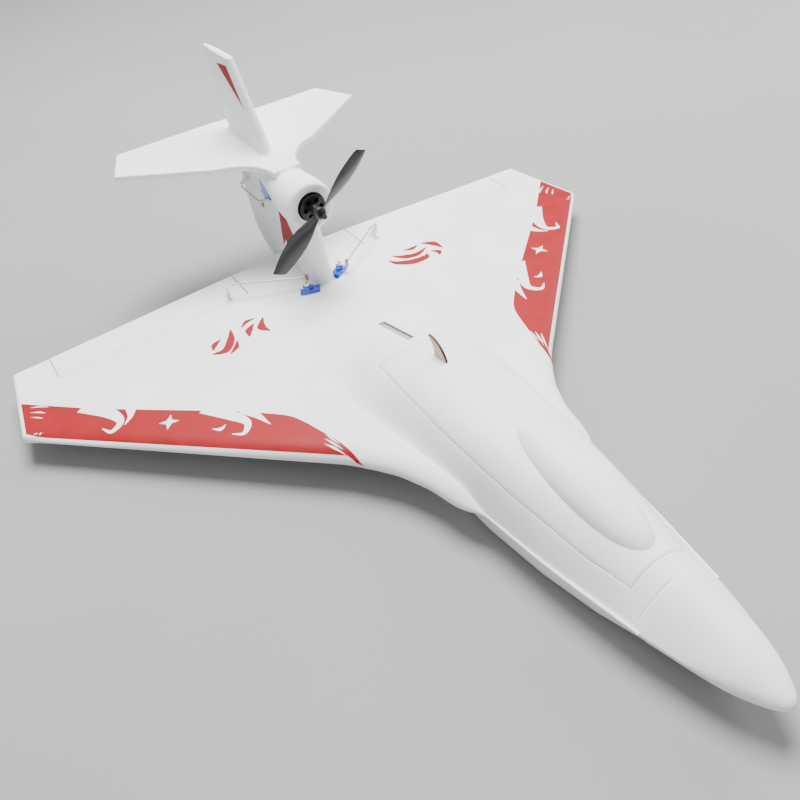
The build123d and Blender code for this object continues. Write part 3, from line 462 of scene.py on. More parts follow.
def ease(v, low, high):
    """Smooth step from 0 at low to 1 at high."""
    t = np.clip((v - low) / (high - low), 0, 1)
    return t * t * (3 - 2 * t)


def edge_x(y):
    """Half width of the whole outline: chine lip, strake, leading edge, raked tip."""
    lead = np.interp(y, [s[0] for s in STRAKE] + [TIP_LE_Y], [s[1] for s in STRAKE] + [SPAN_HALF])
    tip = SPAN_HALF - TIP_RAKE * (y - TIP_LE_Y) / (TE_Y - TIP_LE_Y)
    return np.where(y > TIP_LE_Y, tip, lead)


def edge_smooth(y):
    """Outline with the strake's corners rounded."""
    reach = np.linspace(-16, 16, 17)
    bell = np.exp(-0.5 * (reach / 6.0) ** 2)
    bell /= bell.sum()
    soft_line = sum(w * edge_x(y + r) for w, r in zip(bell, reach))
    return np.where(y > 60, edge_x(y), soft_line)


def wing_top(x):
    return np.interp(np.abs(x), [ROOT_X, SPAN_HALF], [54.5, 38.0])


def wing_low(x):
    return np.interp(np.abs(x), [ROOT_X, SPAN_HALF], [25.0, 25.5])


def nose_round(x, y):
    """How full the wing section is near its edge, 0 at the edge and 1 inside."""
    out = edge_smooth(y)
    slope = (edge_smooth(y + 1.0) - edge_smooth(y - 1.0)) / 2
    gap = (out - np.abs(x)) / np.sqrt(1 + slope ** 2)
    wing = ease(y, STRAKE_END, -178)
    lip_radius, wing_radius, tip_radius = 1.6, 22.0, 5.0
    radius = lip_radius + (wing_radius - lip_radius) * wing
    corner = ease(y, TIP_LE_Y - 24, TIP_LE_Y)
    radius = radius * (1 - corner) + tip_radius * corner
    t = np.clip(gap / radius, 0, 1)
    return np.sqrt(np.clip(1 - (1 - t) ** 2, 0, 1)), wing


def smooth_max(a, b, k):
    """The larger of two heights, with a fillet of about k where they cross."""
    h = np.clip(0.5 + 0.5 * (a - b) / k, 0, 1)
    return b + (a - b) * h + k * h * (1 - h)


def hatch_rear(x):
    """The hatch's rear edge, bowed so that its middle lies furthest forward."""
    return -5.0 + 13.0 * (np.abs(x) / 49.0) ** 2


def seam_gap(x, y):
    """Distance from the hatch's outline, seen from above."""
    side = np.abs(np.abs(x) - hatch_half(y))
    far = 99.0
    side = np.where((y > HATCH_FRONT) & (y < 10), side, far)
    within = np.abs(x) < hatch_half(y) + 1
    front = np.where(within, np.abs(y - HATCH_FRONT), far)
    rear = np.where(within, np.abs(y - hatch_rear(x)), far)
    return np.minimum(side, np.minimum(front, rear))


def roof(x, y):
    """Height of the deck's arched section."""
    top, foot_x, foot_z, full = crown(y)
    return top - (top - foot_z) * (np.abs(x) / foot_x) ** full


def top_z(x, y):
    """Upper surface of the deck, hatch and wings, with the seams pressed into it."""
    round_, wing = nose_round(x, y)
    mid = (wing_top(x) + wing_low(x)) / 2 * wing + CHINE_Z * (1 - wing)
    rise = (wing_top(x) - mid) * wing + 1.5 * (1 - wing)
    plate = mid + rise * round_
    z = smooth_max(roof(x, y), plate, 1.0 + 11.0 * ease(y, STRAKE_END, -120))
    z = z - SEAM_DEPTH * np.exp(-(seam_gap(x, y) / 1.1) ** 2)
    short = ease(-x, 4, 7) * ease(x, -43, -40) * np.exp(-((y - SHORT_SEAM_Y) / 0.9) ** 2)
    return np.maximum(z - SEAM_DEPTH * short, mid)


def low_z(x, y):
    """Underside of the wings, rising to the thin trailing edge."""
    round_, wing = nose_round(x, y)
    mid = (wing_top(x) + wing_low(x)) / 2 * wing + CHINE_Z * (1 - wing)
    fall = (mid - wing_low(x)) * wing + 1.5 * (1 - wing)
    z = mid - fall * round_
    taper_start, edge = TE_Y - 110, 3.0
    tail = np.interp(y, [taper_start, TE_Y], [0.0, 1.0])
    z = z * (1 - tail) + (wing_top(x) - edge) * tail
    return np.where(y > taper_start, np.minimum(z, top_z(x, y) - 0.2 * round_), z)


def rows():
    """Stations along Y, gathered at the seams and at the corners of the outline."""
    ends = (DECK_FRONT, -397, -391, -376, -371, STRAKE_END, -180, -10, 14, 190, TIP_LE_Y, TE_Y)
    steps = (1.0, 0.45, 2.0, 0.5, 2.4, 1.6, 2.6, 0.8, 5.0, 2.0, 5.0)
    runs = [np.arange(a, b, step) for a, b, step in zip(ends, ends[1:], steps)]
    return np.concatenate(runs + [[TE_Y]])


def row_xs(y):
    """Port half of one row, from the middle out, gathered at the seam and at the edge."""
    hatch, foot, out = hatch_half(y), crown(y)[1], float(edge_smooth(y))
    at_seam = np.array([-2.5, -1.4, -0.7, 0, 0.7, 1.4, 2.5])
    inner = np.concatenate([np.linspace(0, hatch - 4, 22), hatch + at_seam])
    foot = min(max(foot, hatch + 8), out - LIP)
    side = np.linspace(hatch + 4, foot, 12)
    span = out - foot
    away = np.array([22, 17, 13, 9.5, 6.5, 4.2, 2.4, 1.1, 0.35, 0.0])
    away = away * min(1, span / 60)
    mid = np.linspace(foot, out - away[0], 46)[1:-1]
    return np.concatenate([inner, side, mid, out - away])


def sheet_solid(name, material):
    """The whole upper moulding: deck, hatch and both wings, as one closed skin."""
    ys = rows()
    half = np.array([row_xs(y) for y in ys])
    xs = np.concatenate([-half[:, :0:-1], half], axis=1)
    yy = np.repeat(ys[:, None], xs.shape[1], axis=1)
    top, low = top_z(xs, yy), low_z(xs, yy)
    nr, nc = xs.shape
    mid = (top + low) / 2
    for column in (0, -1):
        top[:, column] = mid[:, column]
    upper = np.stack([xs, yy, top], -1).reshape(-1, 3)
    lower = np.stack([xs, yy, low], -1)[:, 1:-1].reshape(-1, 3)
    verts = np.concatenate([upper, lower])

    def up(r, c):
        return r * nc + c

    def down(r, c):
        return up(r, c) if c in (0, nc - 1) else nr * nc + r * (nc - 2) + c - 1

    faces = []
    for r in range(nr - 1):
        for c in range(nc - 1):
            faces.append([up(r, c), up(r, c + 1), up(r + 1, c + 1), up(r + 1, c)])
            faces.append([down(r, c), down(r + 1, c), down(r + 1, c + 1), down(r, c + 1)])
    for c in range(nc - 1):
        for r, turn in ((0, 1), (nr - 1, -1)):
            face = [up(r, c), down(r, c), down(r, c + 1), up(r, c + 1)]
            face = list(dict.fromkeys(face))
            faces.append(face[::turn])
    return outward(make(name, [tuple(v) for v in verts], faces, material))


def hatch_outline(grow):
    """The hatch's plan, larger all round by grow."""
    ys = np.concatenate([[HATCH_FRONT - grow], np.arange(HATCH_FRONT + 4, -6, 6.0)])
    port = [(hatch_half(y) + grow, y) for y in ys]
    corner = hatch_half(7.5) + grow
    xs = np.linspace(corner, -corner, 25)
    rear = [(x, hatch_rear(x) + grow) for x in xs]
    return port + rear + [(-x, y) for x, y in reversed(port)]


# ------------------------------------------------------------ mouldings ----
BAY_X, BAY_Y, BAY_FLOOR = 36.0, (-290.0, -30.0), 11.0
SKY = 140.0                     # above everything on the deck
SLOT_HALF_WIDTH, SLOT_HALF_LENGTH, SLOT_DEPTH = 4.5, 37.0, 4.6
SLOT_FALL = 17.5                # the crown drops by this much along the slot
SLOT_PLACE = (Matrix.Translation((0, 49.0 * MM, 80.3 * MM))
              @ Matrix.Rotation(-math.atan2(SLOT_FALL, 2 * SLOT_HALF_LENGTH), 4, "X"))

deck = sheet_solid("deck_and_wings", WHITE)
hatch = twin(deck, "hatch_lid_foam")
boolean(hatch, plan_prism(hatch_outline(0), HATCH_SEAT_Z, SKY), "INTERSECT")
boolean(hatch, box((-BAY_X, BAY_X), BAY_Y, (40, 70)), "DIFFERENCE")
boolean(deck, plan_prism(hatch_outline(GAP), HATCH_SEAT_Z, SKY), "DIFFERENCE")
boolean(deck, box((-BAY_X, BAY_X), BAY_Y, (0, 60)), "DIFFERENCE")
slot = box((-SLOT_HALF_WIDTH, SLOT_HALF_WIDTH), (-SLOT_HALF_LENGTH, SLOT_HALF_LENGTH), (-SLOT_DEPTH, 20))
slot.data.transform(SLOT_PLACE)
boolean(deck, slot, "DIFFERENCE")


def slot_shade_lining():
    """Grey skin on the floor and the walls of the deck's slot, darkened as painted shade inside the slot."""
    brim, shell = -0.7, 0.4
    outer, floor = SLOT_HALF_WIDTH - 0.05, -SLOT_DEPTH + 0.05
    inner, low = outer - 0.35, floor + shell
    section = [(-outer, brim), (-outer, floor), (outer, floor), (outer, brim),
               (inner, brim), (inner, low), (-inner, low), (-inner, brim)]
    end = SLOT_HALF_LENGTH - 0.1
    lining = loft("slot_shade_lining", [[(x, y, z) for x, z in section] for y in (-end, end)], SLOT_SHADE_FOAM)
    lining.data.transform(SLOT_PLACE)
    return soft(lining, 30)


place(slot_shade_lining(), "airframe", "foam")


def hinge_points():
    """Both ends of the port aileron's hinge line, on the wing's upper skin."""
    inner = Vector((93.5, TE_Y - 60.0, float(wing_top(93.5))))
    outer = Vector((365.0, TE_Y - 51.0, float(wing_top(365.0))))
    return inner, outer


def hinge_cutters(inner, outer, thick, behind):
    """The surface's room, and the surface's own blank with its bevel, along a hinge line."""
    run = outer - inner
    slit = run.normalized() * 1.6
    rise, drop = 9, -thick - 6
    slant = (thick + 6) * math.tan(math.radians(30)) + GAP
    room = [inner + Vector(v) for v in ((0, 0, rise), (0, behind, rise), (0, behind, drop), (0, 0, drop))]
    section = ((0, GAP, rise), (0, behind, rise), (0, behind, drop), (0, slant, drop), (0, GAP, 0))
    blank = [inner + slit + Vector(v) for v in section]
    return prism(room, run), prism(blank, run - slit * 2)


place(soft(hatch, 34), "hatch_lid", "foam", "hatch")
port_cutters = hinge_cutters(*hinge_points(), 30, 100)
aileron_cutters = {"port": port_cutters, "starboard": [mirrored(c, "cutter") for c in port_cutters]}
for word, (room, blank) in aileron_cutters.items():
    aileron = twin(deck, word + "_aileron_foam")
    boolean(aileron, blank, "INTERSECT")
    boolean(deck, room, "DIFFERENCE")
    place(soft(aileron, 34), word + "_aileron_surface", "foam", word + "_aileron")
soft(deck, 34)


def canopy():
    """Teardrop fairing on the hatch, its rim sunk in the hatch's skin."""
    middle_y, half_length, half_width, rise, sunk = -276, 91, 27.5, 24.5, 9
    count = 33
    rings = []
    for t in np.linspace(0, 1, 61):
        a = math.pi * t
        y = middle_y - half_length * math.cos(a)
        base = float(roof(0, y)) - sunk
        height = rise * math.sin(a) ** 0.80
        half = half_width * math.sin(a) ** 0.92 * (1 - 0.12 * (t - 0.5))
        ring = []
        for k in range(count):
            b = math.pi * k / (count - 1)
            ring.append((half * math.cos(b), y, base + height * math.sin(b) ** 0.9))
        rings.append(ring)
    verts = [p for ring in rings for p in ring]
    faces = []
    for k in range(len(rings) - 1):
        a, b = k * count, (k + 1) * count
        faces += [[a + i, a + i + 1, b + i + 1, b + i] for i in range(count - 1)]
    piece = outward(make("canopy_fairing", verts, faces, WHITE))
    bm = bmesh.new()
    bm.from_mesh(piece.data)
    bmesh.ops.remove_doubles(bm, verts=bm.verts, dist=0.00005)
    bm.to_mesh(piece.data)
    bm.free()
    return soft(piece, 60)


place(canopy(), "hatch_lid", "foam")


# ---------------------------------------------------------- lower hull ----
# y, half width at the chine, half width of the bottom, bottom height, how boxy
HULL = [(DECK_FRONT, 45.5, 29, 6, 0.80), (-350, 54, 43, 1.5, 0.88), (-288, 62.5, 54, 0.2, 0.93),
        (-214, 69, 61, 0, 0.95), (0, 72, 62, 0, 0.95), (99, 70, 58, 0.2, 0.95)]
STERN = [(99.5, 70, 54, 8, 0.93), (160, 65, 49, 10, 0.93), (220, 58, 42, 13, 0.93), (280, 49, 35, 18, 0.93),
         (340, 40, 28, 24, 0.93)]


def belly(half, flat, low, boxy, count=20):
    """Lower half of a section from the port chine round to the starboard chine."""
    points = []
    for k in range(2 * count + 1):
        t = k / (2 * count)
        a = math.pi * t
        oval = (half * math.cos(a), CHINE_Z - (CHINE_Z - low) * math.sin(a))
        u = abs(2 * t - 1)
        side = 1 if t < 0.5 else -1
        if u > 0.5:
            w = (u - 0.5) * 2
            sharp = (side * (flat + (half - flat) * w), low + (CHINE_Z - low) * w)
        else:
            sharp = (side * flat * u * 2, low)
        points.append([oval[0] * (1 - boxy) + sharp[0] * boxy, oval[1] * (1 - boxy) + sharp[1] * boxy])
    points = np.array(points)
    for _ in range(3):
        points[1:-1] = points[1:-1] * 0.5 + (points[:-2] + points[2:]) * 0.25
    return points


def hull_piece(name, table, step, top):
    """A closed run of belly sections, with straight sides from the chine up to the height top(y)."""
    ys = np.arange(table[0][0], table[-1][0] + step * 0.5, step)
    ys[-1] = table[-1][0]
    rings = []
    for y in ys:
        half, *rest = (np.interp(y, [r[0] for r in table], [r[k] for r in table]) for k in (1, 2, 3, 4))
        lower = belly(half, *rest)
        ring = [(x, y, z) for x, z in lower]
        ring += [(-half + 0.3, y, top(y)), (half - 0.3, y, top(y))]
        rings.append(ring)
    return loft(name, rings, WHITE)


def stern_top(y):
    """Rises behind the wing's thick part, so that no gap opens under the trailing edge."""
    return CHINE_Z + 0.5 + 11.0 * float(ease(y, 200, 270))


hull = hull_piece("hull_foam", HULL, 5.0, lambda y: CHINE_Z + 0.5)
stern = hull_piece("stern_foam", STERN, 6.0, stern_top)
boolean(hull, box((-BAY_X, BAY_X), BAY_Y, (BAY_FLOOR, 60)), "DIFFERENCE")
soft(hull, 30)
soft(stern, 30)
place(hull, "airframe", "foam", "hull")
place(stern, "airframe", "foam")


def nose_cone():
    """Bullet nose whose rear edge meets the deck's and the hull's sections."""
    top, foot, *_ = (float(v) for v in crown(DECK_FRONT))
    length = DECK_FRONT - NOSE_TIP
    # distance from the tip, half width, rise above the chine, drop below it
    table = [(0, 0, 0, 0), (17, 17, 12, 14), (44, 29, 20, 23), (79, 39, 27, 29),
             (length, foot, top - CHINE_Z, 34)]
    roots = [math.sqrt(r[0]) for r in table]
    rings = []
    for u in np.linspace(0.25, roots[-1], 56):
        s = u * u
        half, rise, drop = (np.interp(u, roots, [r[k] for r in table]) for k in (1, 2, 3))
        boxy = HULL[0][4] * float(ease(s, 10, length))
        y = NOSE_TIP + s
        flat = half * np.interp(s, [0, length], [0.5, HULL[0][2] / HULL[0][1]])
        lower = belly(half, flat, CHINE_Z - drop, boxy)
        ring = [(x, y, z) for x, z in lower]
        share = np.sin(np.linspace(-1, 1, 43)[1:-1] * math.pi / 2)
        blunt = float(ease(s, 8, 90))
        oval = np.sqrt(np.clip(1 - share ** 2, 0, 1))
        arched = (roof(share * foot, DECK_FRONT) - CHINE_Z) / (top - CHINE_Z)
        upper = CHINE_Z + rise * (oval * (1 - blunt) + arched * blunt)
        ring += [(x, y, z) for x, z in zip(half * share, upper)]
        rings.append(ring)
    return soft(loft("nose_cone_foam", rings, WHITE), 50)


place(nose_cone(), "airframe", "foam", "nose_cone")
place(deck, "airframe", "foam", "deck", "port_wing", "starboard_wing")


# ----------------------------------------------------------------- tail ----
STAB_TOP, STAB_LOW = 208.0, 200.0
THRUST_Z = 173.0
ELEVATOR_Y = 478.0              # the elevator's hinge line
TAIL_SIDE = 200.0               # past the stabilizer's tips
BORE_R = 19.6


def hinge_line(z):
    """The rudder's hinge line leans back between the hull and the stabilizer."""
    return 405.0 + (443.0 - 405.0) * (z - 32.0) / (193.0 - 32.0)


def mast_ring(z, le, te, half, half_te, count=16):
    """Round-nosed section tapering to a blunt rear."""
    ring = [(half_te, te, z)]
    for k in range(count + 1):
        a = math.pi * k / count
        ring.append((half * math.cos(a), le + half * 1.25 * (1 - math.sin(a)), z))
    ring.append((-half_te, te, z))
    return ring


def mast():
    """The pylon, flared at its foot."""
    levels = [(30, 15.5), (55, 15.0), (80, 13.2), (110, 12.2), (140, 12.0), (204, 12.0)]
    rings = []
    for z, half in levels:
        flare = 5.0 * float(ease(70 - z, 0, 22))
        lead = 227 + 13 * (z - 30) / 170
        rings.append(mast_ring(z, lead - flare, hinge_line(z) - 1, half + flare * 0.4, 5.0))
    return loft("mast", rings, WHITE)


def nacelle():
    """Motor housing turned about the thrust line, fairing back under the stabilizer."""
    profile = [(231.0, 22.5, 0), (229.2, 25.5, 0), (229.0, 28.5, 0), (231.0, 31.2, 0), (235.5, 32.6, 0),
               (248, 33.2, 0), (265, 32.6, 0.5), (287, 29.8, 2), (310, 25.8, 5), (340, 21, 9), (370, 16.5, 13),
               (400, 12.5, 17), (428, 9, 20)]
    return loft("nacelle", [ring_about_y(y, r, THRUST_Z + lift, 48) for y, r, lift in profile], WHITE)


def stabilizer_blank():
    """Plan outline with curved roots. Its edges are rounded when the tail is melted into one."""
    a, b, c = Vector((20, 286)), Vector((23, 338)), Vector((74, 356))
    root = []
    for t in np.linspace(0, 1, 14):
        root.append(tuple(a * (1 - t) ** 2 + b * 2 * t * (1 - t) + c * t * t))
    port = root + [(187, 443), (162, 515)]
    outline = port + [(-x, y) for x, y in reversed(port)]
    return plan_prism(outline, STAB_LOW, STAB_TOP)


def fin_blank():
    """The fin, round in front and tapered over its rear 45 mm."""
    edge, taper = 2.6, 45
    front = np.linspace(0, math.pi, 13)
    rings = []
    for z, le, te, half in ((196, 331, 471, 7.5), (216, 342, 477, 7.0), (322, 401, 496, 5.2)):
        nose = [(half * math.cos(a), le + half * 1.1 * (1 - math.sin(a)), z) for a in front]
        rings.append([(half, te - taper, z)] + nose + [(-half, te - taper, z), (-edge, te, z), (edge, te, z)])
    return loft("fin_blank", rings, WHITE)


def spine():
    """Fairing from the nacelle's crown up to the foot of the fin."""
    foot = 186
    rings = []
    for y, half, top in ((262, 15, 204), (300, 14, 205.5), (330, 12, 209), (350, 10, 216), (372, 8.4, 222)):
        arch = np.linspace(0, math.pi, 17)
        rings.append([(half * math.cos(a), y, foot + (top - foot) * math.sin(a)) for a in arch])
    return loft("spine", rings, WHITE)


def fuse(name, parts, voxel, rounds):
    """Parts melted into one moulding, with small fillets where they meet."""
    base = parts[0]
    for part in parts[1:]:
        boolean(base, part, "UNION")
    base.name = name
    apply(base, "REMESH", mode="VOXEL", voxel_size=voxel * MM, adaptivity=0.0)
    apply(base, "SMOOTH", factor=0.5, iterations=rounds)
    return base


def bore():
    """Room for the motor in the front of the nacelle."""
    return loft("bore", [ring_about_y(y, BORE_R, THRUST_Z, 64) for y in (200, 262.5)], CUT)


def screw_room(x, y):
    """Space in the pylon's flank for the head of a servo arm's screw."""
    radius = 3.2
    rings = []
    for z in (134.4, 139.6):
        rings.append([(x + radius * math.cos(a), y + radius * math.sin(a), z) for a in circle(32)])
    return loft("screw_room", rings, CUT)


voxel = 1.5
tail = fuse("tail_moulding", [mast(), nacelle(), stabilizer_blank(), fin_blank(), spine()], voxel, 5)
boolean(tail, bore(), "DIFFERENCE")
boolean(tail, screw_room(-8, 361), "DIFFERENCE")
boolean(tail, screw_room(8, 362), "DIFFERENCE")


def across_tail(section):
    """A (y, z) outline pushed from tip to tip."""
    return prism([(-TAIL_SIDE, y, z) for y, z in section], (2 * TAIL_SIDE, 0, 0))


def elevator_blank():
    """The elevator's room behind its hinge line, with the bevel under the crease."""
    front, rear, roof_z, floor_z = ELEVATOR_Y + GAP, 560, 212, 192
    slant = (STAB_TOP - floor_z) * math.tan(math.radians(30))
    lower = [(rear, floor_z), (front + slant, floor_z), (front, STAB_TOP)]
    return across_tail([(front, roof_z), (rear, roof_z)] + lower)


elevator = twin(tail, "elevator_foam")
boolean(elevator, elevator_blank(), "INTERSECT")
boolean(elevator, box((-9, 9), (440, 560), (STAB_TOP - 1.2, 240)), "DIFFERENCE")
boolean(elevator, across_tail([(500, 199), (520, 204.5), (520, 190), (500, 190)]), "DIFFERENCE")
boolean(tail, box((-TAIL_SIDE, TAIL_SIDE), (ELEVATOR_Y, 560), (150, 209.5)), "DIFFERENCE")
soft(tail, 42)
soft(elevator, 42)
place(tail, "airframe", "foam", "pylon", "stabilizer", "fin")
place(elevator, "elevator_surface", "foam", "elevator")


def rudder():
    """Blade with a bevelled leading edge and rounded rim."""
    clear, bevel = 1.2, 0.84
    outline = [(hinge_line(191) + clear, 191), (472, 191), (472, 150), (472, 109), (469.5, 84), (465, 62),
               (456, 46), (443, 34), (430, 26.5), (416, 22.5), (hinge_line(31) + clear, 31)]
    centre = Vector((446.0, 112.0))
    # distance in from the rim, distance out from the middle plane
    rim = [(0.0, 0.0), (0.0, 1.4), (0.9, 2.6), (2.6, 3.4), (5.5, 3.8)]
    rings = []
    for side, inset, x in [(-1, *r) for r in reversed(rim[1:])] + [(1, *r) for r in rim]:
        ring = []
        for y, z in outline:
            away = Vector((y, z)) - centre
            point = centre + away.normalized() * (away.length - inset)
            if y < hinge_line(z) + 2:
                point = Vector((y + x * bevel, z))
            ring.append((side * x, *point))
        rings.append(ring)
    return soft(loft("rudder_foam", rings, WHITE), 25)


place(rudder(), "rudder_surface", "foam", "rudder")


# --------------------------------------------------------- hinge skins ----
def hinge_skin(name, inner, outer, surface):
    """The foam skin that bridges a hinge crease."""
    profile = [(-4.0, 0.10), (-1.6, 0.12), (-0.5, 0.02), (0.3, -0.35), (1.1, 0.02), (2.2, 0.12), (4.6, 0.10)]
    run = outer - inner
    film = 0.25
    steps = 60
    rings = []
    for k in range(steps + 1):
        p = inner + run * (0.004 + 0.992 * k / steps)
        upper = [tuple(p + Vector((0, a, b))) for a, b in profile]
        lower = [tuple(p + Vector((0, a, min(b, 0) - film))) for a, b in reversed(profile)]
        rings.append(upper + lower)
    skin = soft(loft(name, rings, WEB), 50)
    across = run.normalized().cross(Vector((0, 0, 1)))
    if across.y < 0:
        across = -across
    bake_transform(skin)


aileron_in, aileron_out = hinge_points()
slit_end = Vector((1.8, 0, 0))
for side, word in ((1, "port"), (-1, "starboard")):
    flip = Matrix.Diagonal((side, 1, 1))
    hinge_skin(word + "_aileron_hinge_skin", flip @ (aileron_in + slit_end), flip @ (aileron_out - slit_end),
               word + "_aileron_surface")
for side, word in ((1, "port"), (-1, "starboard")):
    ends = [Vector((side * x, ELEVATOR_Y, STAB_TOP - 0.35)) for x in (10, 172)]
    hinge_skin(word + "_elevator_hinge_skin", *ends, "elevator_surface")


def rudder_skin():
    """Strip of foam skin in the middle of the rudder's hinge line."""
    low, high = (Vector((0, hinge_line(z), z)) for z in (34, 189))
    section = [(-1.8, 0.5), (0.0, 0.35), (2.2, 0.5), (2.2, -0.5), (0.0, -0.35), (-1.8, -0.5)]
    steps = 40
    rings = []
    for k in range(steps + 1):
        p = low + (high - low) * k / steps
        rings.append([(x, p.y + a, p.z) for a, x in section])
    skin = soft(loft("rudder_hinge_skin", rings, WEB), 50)
    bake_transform(skin)


rudder_skin()


# --------------------------------------------------------------- vinyl ----
VINYL_LIFT, VINYL_THICK = 0.24, 0.1


def dense(loop, step=3.0):
    """A closed outline with points about a step apart."""
    points = []
    for (x0, y0), (x1, y1) in zip(loop, loop[1:] + loop[:1]):
        n = max(1, int(math.hypot(x1 - x0, y1 - y0) / step))
        points += [(x0 + (x1 - x0) * k / n, y0 + (y1 - y0) * k / n) for k in range(n)]
    return points


def inside(loop, x, y):
    """Whether a point lies within a closed outline."""
    hit = False
    for (x0, y0), (x1, y1) in zip(loop, loop[1:] + loop[:1]):
        if (y0 > y) != (y1 > y) and x < (x1 - x0) * (y - y0) / (y1 - y0) + x0:
            hit = not hit
    return hit


def vinyl_sheet(name, outlines, holes, lay, step=4.0):
    """Flat loops, laid on a surface by lay(a, b) -> point and outward normal."""
    loops = [dense(loop) for loop in outlines + holes]
    verts, edges = [], []
    for loop in loops:
        first = len(verts)
        verts += loop
        edges += [(first + i, first + (i + 1) % len(loop)) for i in range(len(loop))]
    lows, highs = np.min(verts, axis=0), np.max(verts, axis=0)
    for a in np.arange(lows[0] + step / 2, highs[0], step):
        for b in np.arange(lows[1] + step / 2, highs[1], step):
            if any(inside(loop, a, b) for loop in outlines):
                verts.append((a, b))
    points, _, faces, *_ = delaunay_2d_cdt([Vector(v) for v in verts], edges, [], 0, 1e-4)
    kept = []
    for face in faces:
        middle = sum((points[i] for i in face), Vector((0, 0))) / len(face)
        within, cut_out = (any(inside(loop, *middle) for loop in group) for group in (outlines, holes))
        if within and not cut_out:
            kept.append(list(face))
    laid = [lay(p.x, p.y) for p in points]
    used = sorted({i for f in kept for i in f})
    order = {old: new for new, old in enumerate(used)}
    upper = [tuple(laid[i][0] + laid[i][1] * VINYL_LIFT) for i in used]
    sheet = make(name, upper, [[order[i] for i in f] for f in kept], RED)
    outward(sheet)
    apply(sheet, "SOLIDIFY", thickness=VINYL_THICK * MM, offset=-1.0)
    return soft(sheet, 60)


def on_wing(side):
    """Lay plan points straight down on the wing's skin."""
    tree = BVHTree.FromObject(deck, bpy.context.evaluated_depsgraph_get())

    def lay(a, b):
        hit, normal, _, _ = tree.ray_cast(Vector((side * a * MM, b * MM, 0.2)), Vector((0, 0, -1)))
        if hit is None:
            return Vector((side * a, b, CHINE_Z)), Vector((0, 0, 1))
        return hit / MM, normal if normal.z > 0 else -normal
    return lay


def curve(points, count=14):
    """Smooth open line through points, Catmull-Rom."""
    p = [Vector(points[0]) * 2 - Vector(points[1])] + [Vector(q) for q in points]
    p.append(Vector(points[-1]) * 2 - Vector(points[-2]))
    line = []
    for i in range(1, len(p) - 2):
        for k in range(count):
            t = k / count
            speed = p[i + 1] - p[i - 1]
            bend = 2 * p[i - 1] - 5 * p[i] + 4 * p[i + 1] - p[i + 2]
            twist = 3 * p[i] - p[i - 1] - 3 * p[i + 1] + p[i + 2]
            line.append(0.5 * (2 * p[i] + speed * t + bend * t * t + twist * t ** 3))
    return line + [p[-2]]


def stroke(points, widths):
    """Brush stroke: a curve with a width that changes along it."""
    line = curve(points)
    left, right = [], []
    for i, p in enumerate(line):
        ahead = line[min(i + 1, len(line) - 1)] - line[max(i - 1, 0)]
        side = Vector((-ahead.y, ahead.x)).normalized()
        w = np.interp(i / (len(line) - 1), np.linspace(0, 1, len(widths)), widths) / 2
        left.append(tuple(p + side * w))
        right.append(tuple(p - side * w))
    return left + right[::-1]


def leading(y, margin):
    """A point on the leading edge's inner margin."""
    return (float(edge_smooth(y)) - margin, y)


def band_outline():
    """The red band along the leading edge, pointed at its inner end."""
    front = [leading(y, 6.0) for y in (-66, -40, -15, 20, 60, 100, 140, 180, 208)]
    tip = [(425.5, 220), (421.5, 254), (418.0, 284)]
    corners = [(343.5, 206), (279, 146), (215, 86), (178, 48), (158, 22), (145, -17), (135, -55), (130.5, -86)]
    return [(131, -87)] + front + tip + [tuple(p) for p in curve(corners, 6)]


def star(cx, cy, radius, arms, turn):
    """A spark with thin arms."""
    points = []
    for k in range(arms * 2):
        r = radius if k % 2 == 0 else radius * 0.36
        a = turn + math.pi * k / arms
        points.append((cx + r * math.cos(a), cy + r * math.sin(a)))
    return points


def band_holes():
    """White shapes left in the band: darts at both ends, a four-armed spark, and two breaking waves."""
    return [
        stroke([(139.5, -64), (145, -50), (151, -38)], [0.5, 3.2, 0.4]),
        stroke([(138.5, -58), (143, -44), (147, -32)], [0.5, 2.8, 0.4]),
        stroke([(138, -50), (141, -37), (143, -26)], [0.5, 2.4, 0.4]),
        stroke([(411, 268), (399, 261), (390, 252)], [0.4, 3.4, 0.6]),
        stroke([(413, 259), (402, 250), (396, 243)], [0.4, 3.0, 0.6]),
        stroke([(414, 249), (406, 241), (401, 235)], [0.4, 2.6, 0.6]),
        star(277, 117, 13, 4, 0.5),
        stroke([(352, 222), (331, 186), (324, 160), (338, 150), (346, 163)], [26, 17, 9, 6, 1.5]),
        stroke([(305, 178), (311, 161), (322, 150)], [15, 7, 0.8]),
        stroke([(232, 112), (214, 76), (204, 52), (214, 38), (226, 46)], [24, 15, 9, 6, 1.2]),
        stroke([(196, 76), (190, 55), (184, 30)], [20, 9, 0.8]),
        stroke([(225, 66), (233, 63), (241, 70)], [0.6, 6.5, 0.6]),
    ]


def swooshes(side):
    """Loose brush marks on the middle of each wing."""
    if side > 0:
        marks = [([(97, 228), (104, 216), (122, 205), (143, 204), (150, 211)], [2, 9, 13, 11, 1.5]),
                 ([(108, 236), (122, 223), (139, 219), (158, 226)], [2, 11, 9, 2]),
                 ([(128, 240), (141, 237), (152, 240)], [1.5, 8, 2]),
                 ([(160, 241), (173, 229), (177, 210)], [2, 12, 1.5]),
                 ([(158, 214), (166, 205), (162, 196)], [1, 9, 1.5])]
    else:
        marks = [([(103, 226), (113, 208), (108, 192)], [2, 12, 2]),
                 ([(118, 222), (129, 213), (134, 200)], [1.5, 11, 2]),
                 ([(112, 232), (124, 233), (134, 226)], [1.5, 7, 2]),
                 ([(148, 232), (156, 212), (170, 196), (187, 200)], [2, 11, 12, 2]),
                 ([(166, 222), (177, 217), (183, 207)], [1.5, 9, 2]),
                 ([(150, 204), (157, 192), (168, 184)], [1.5, 8, 2])]
    return [stroke(p, w) for p, w in marks]


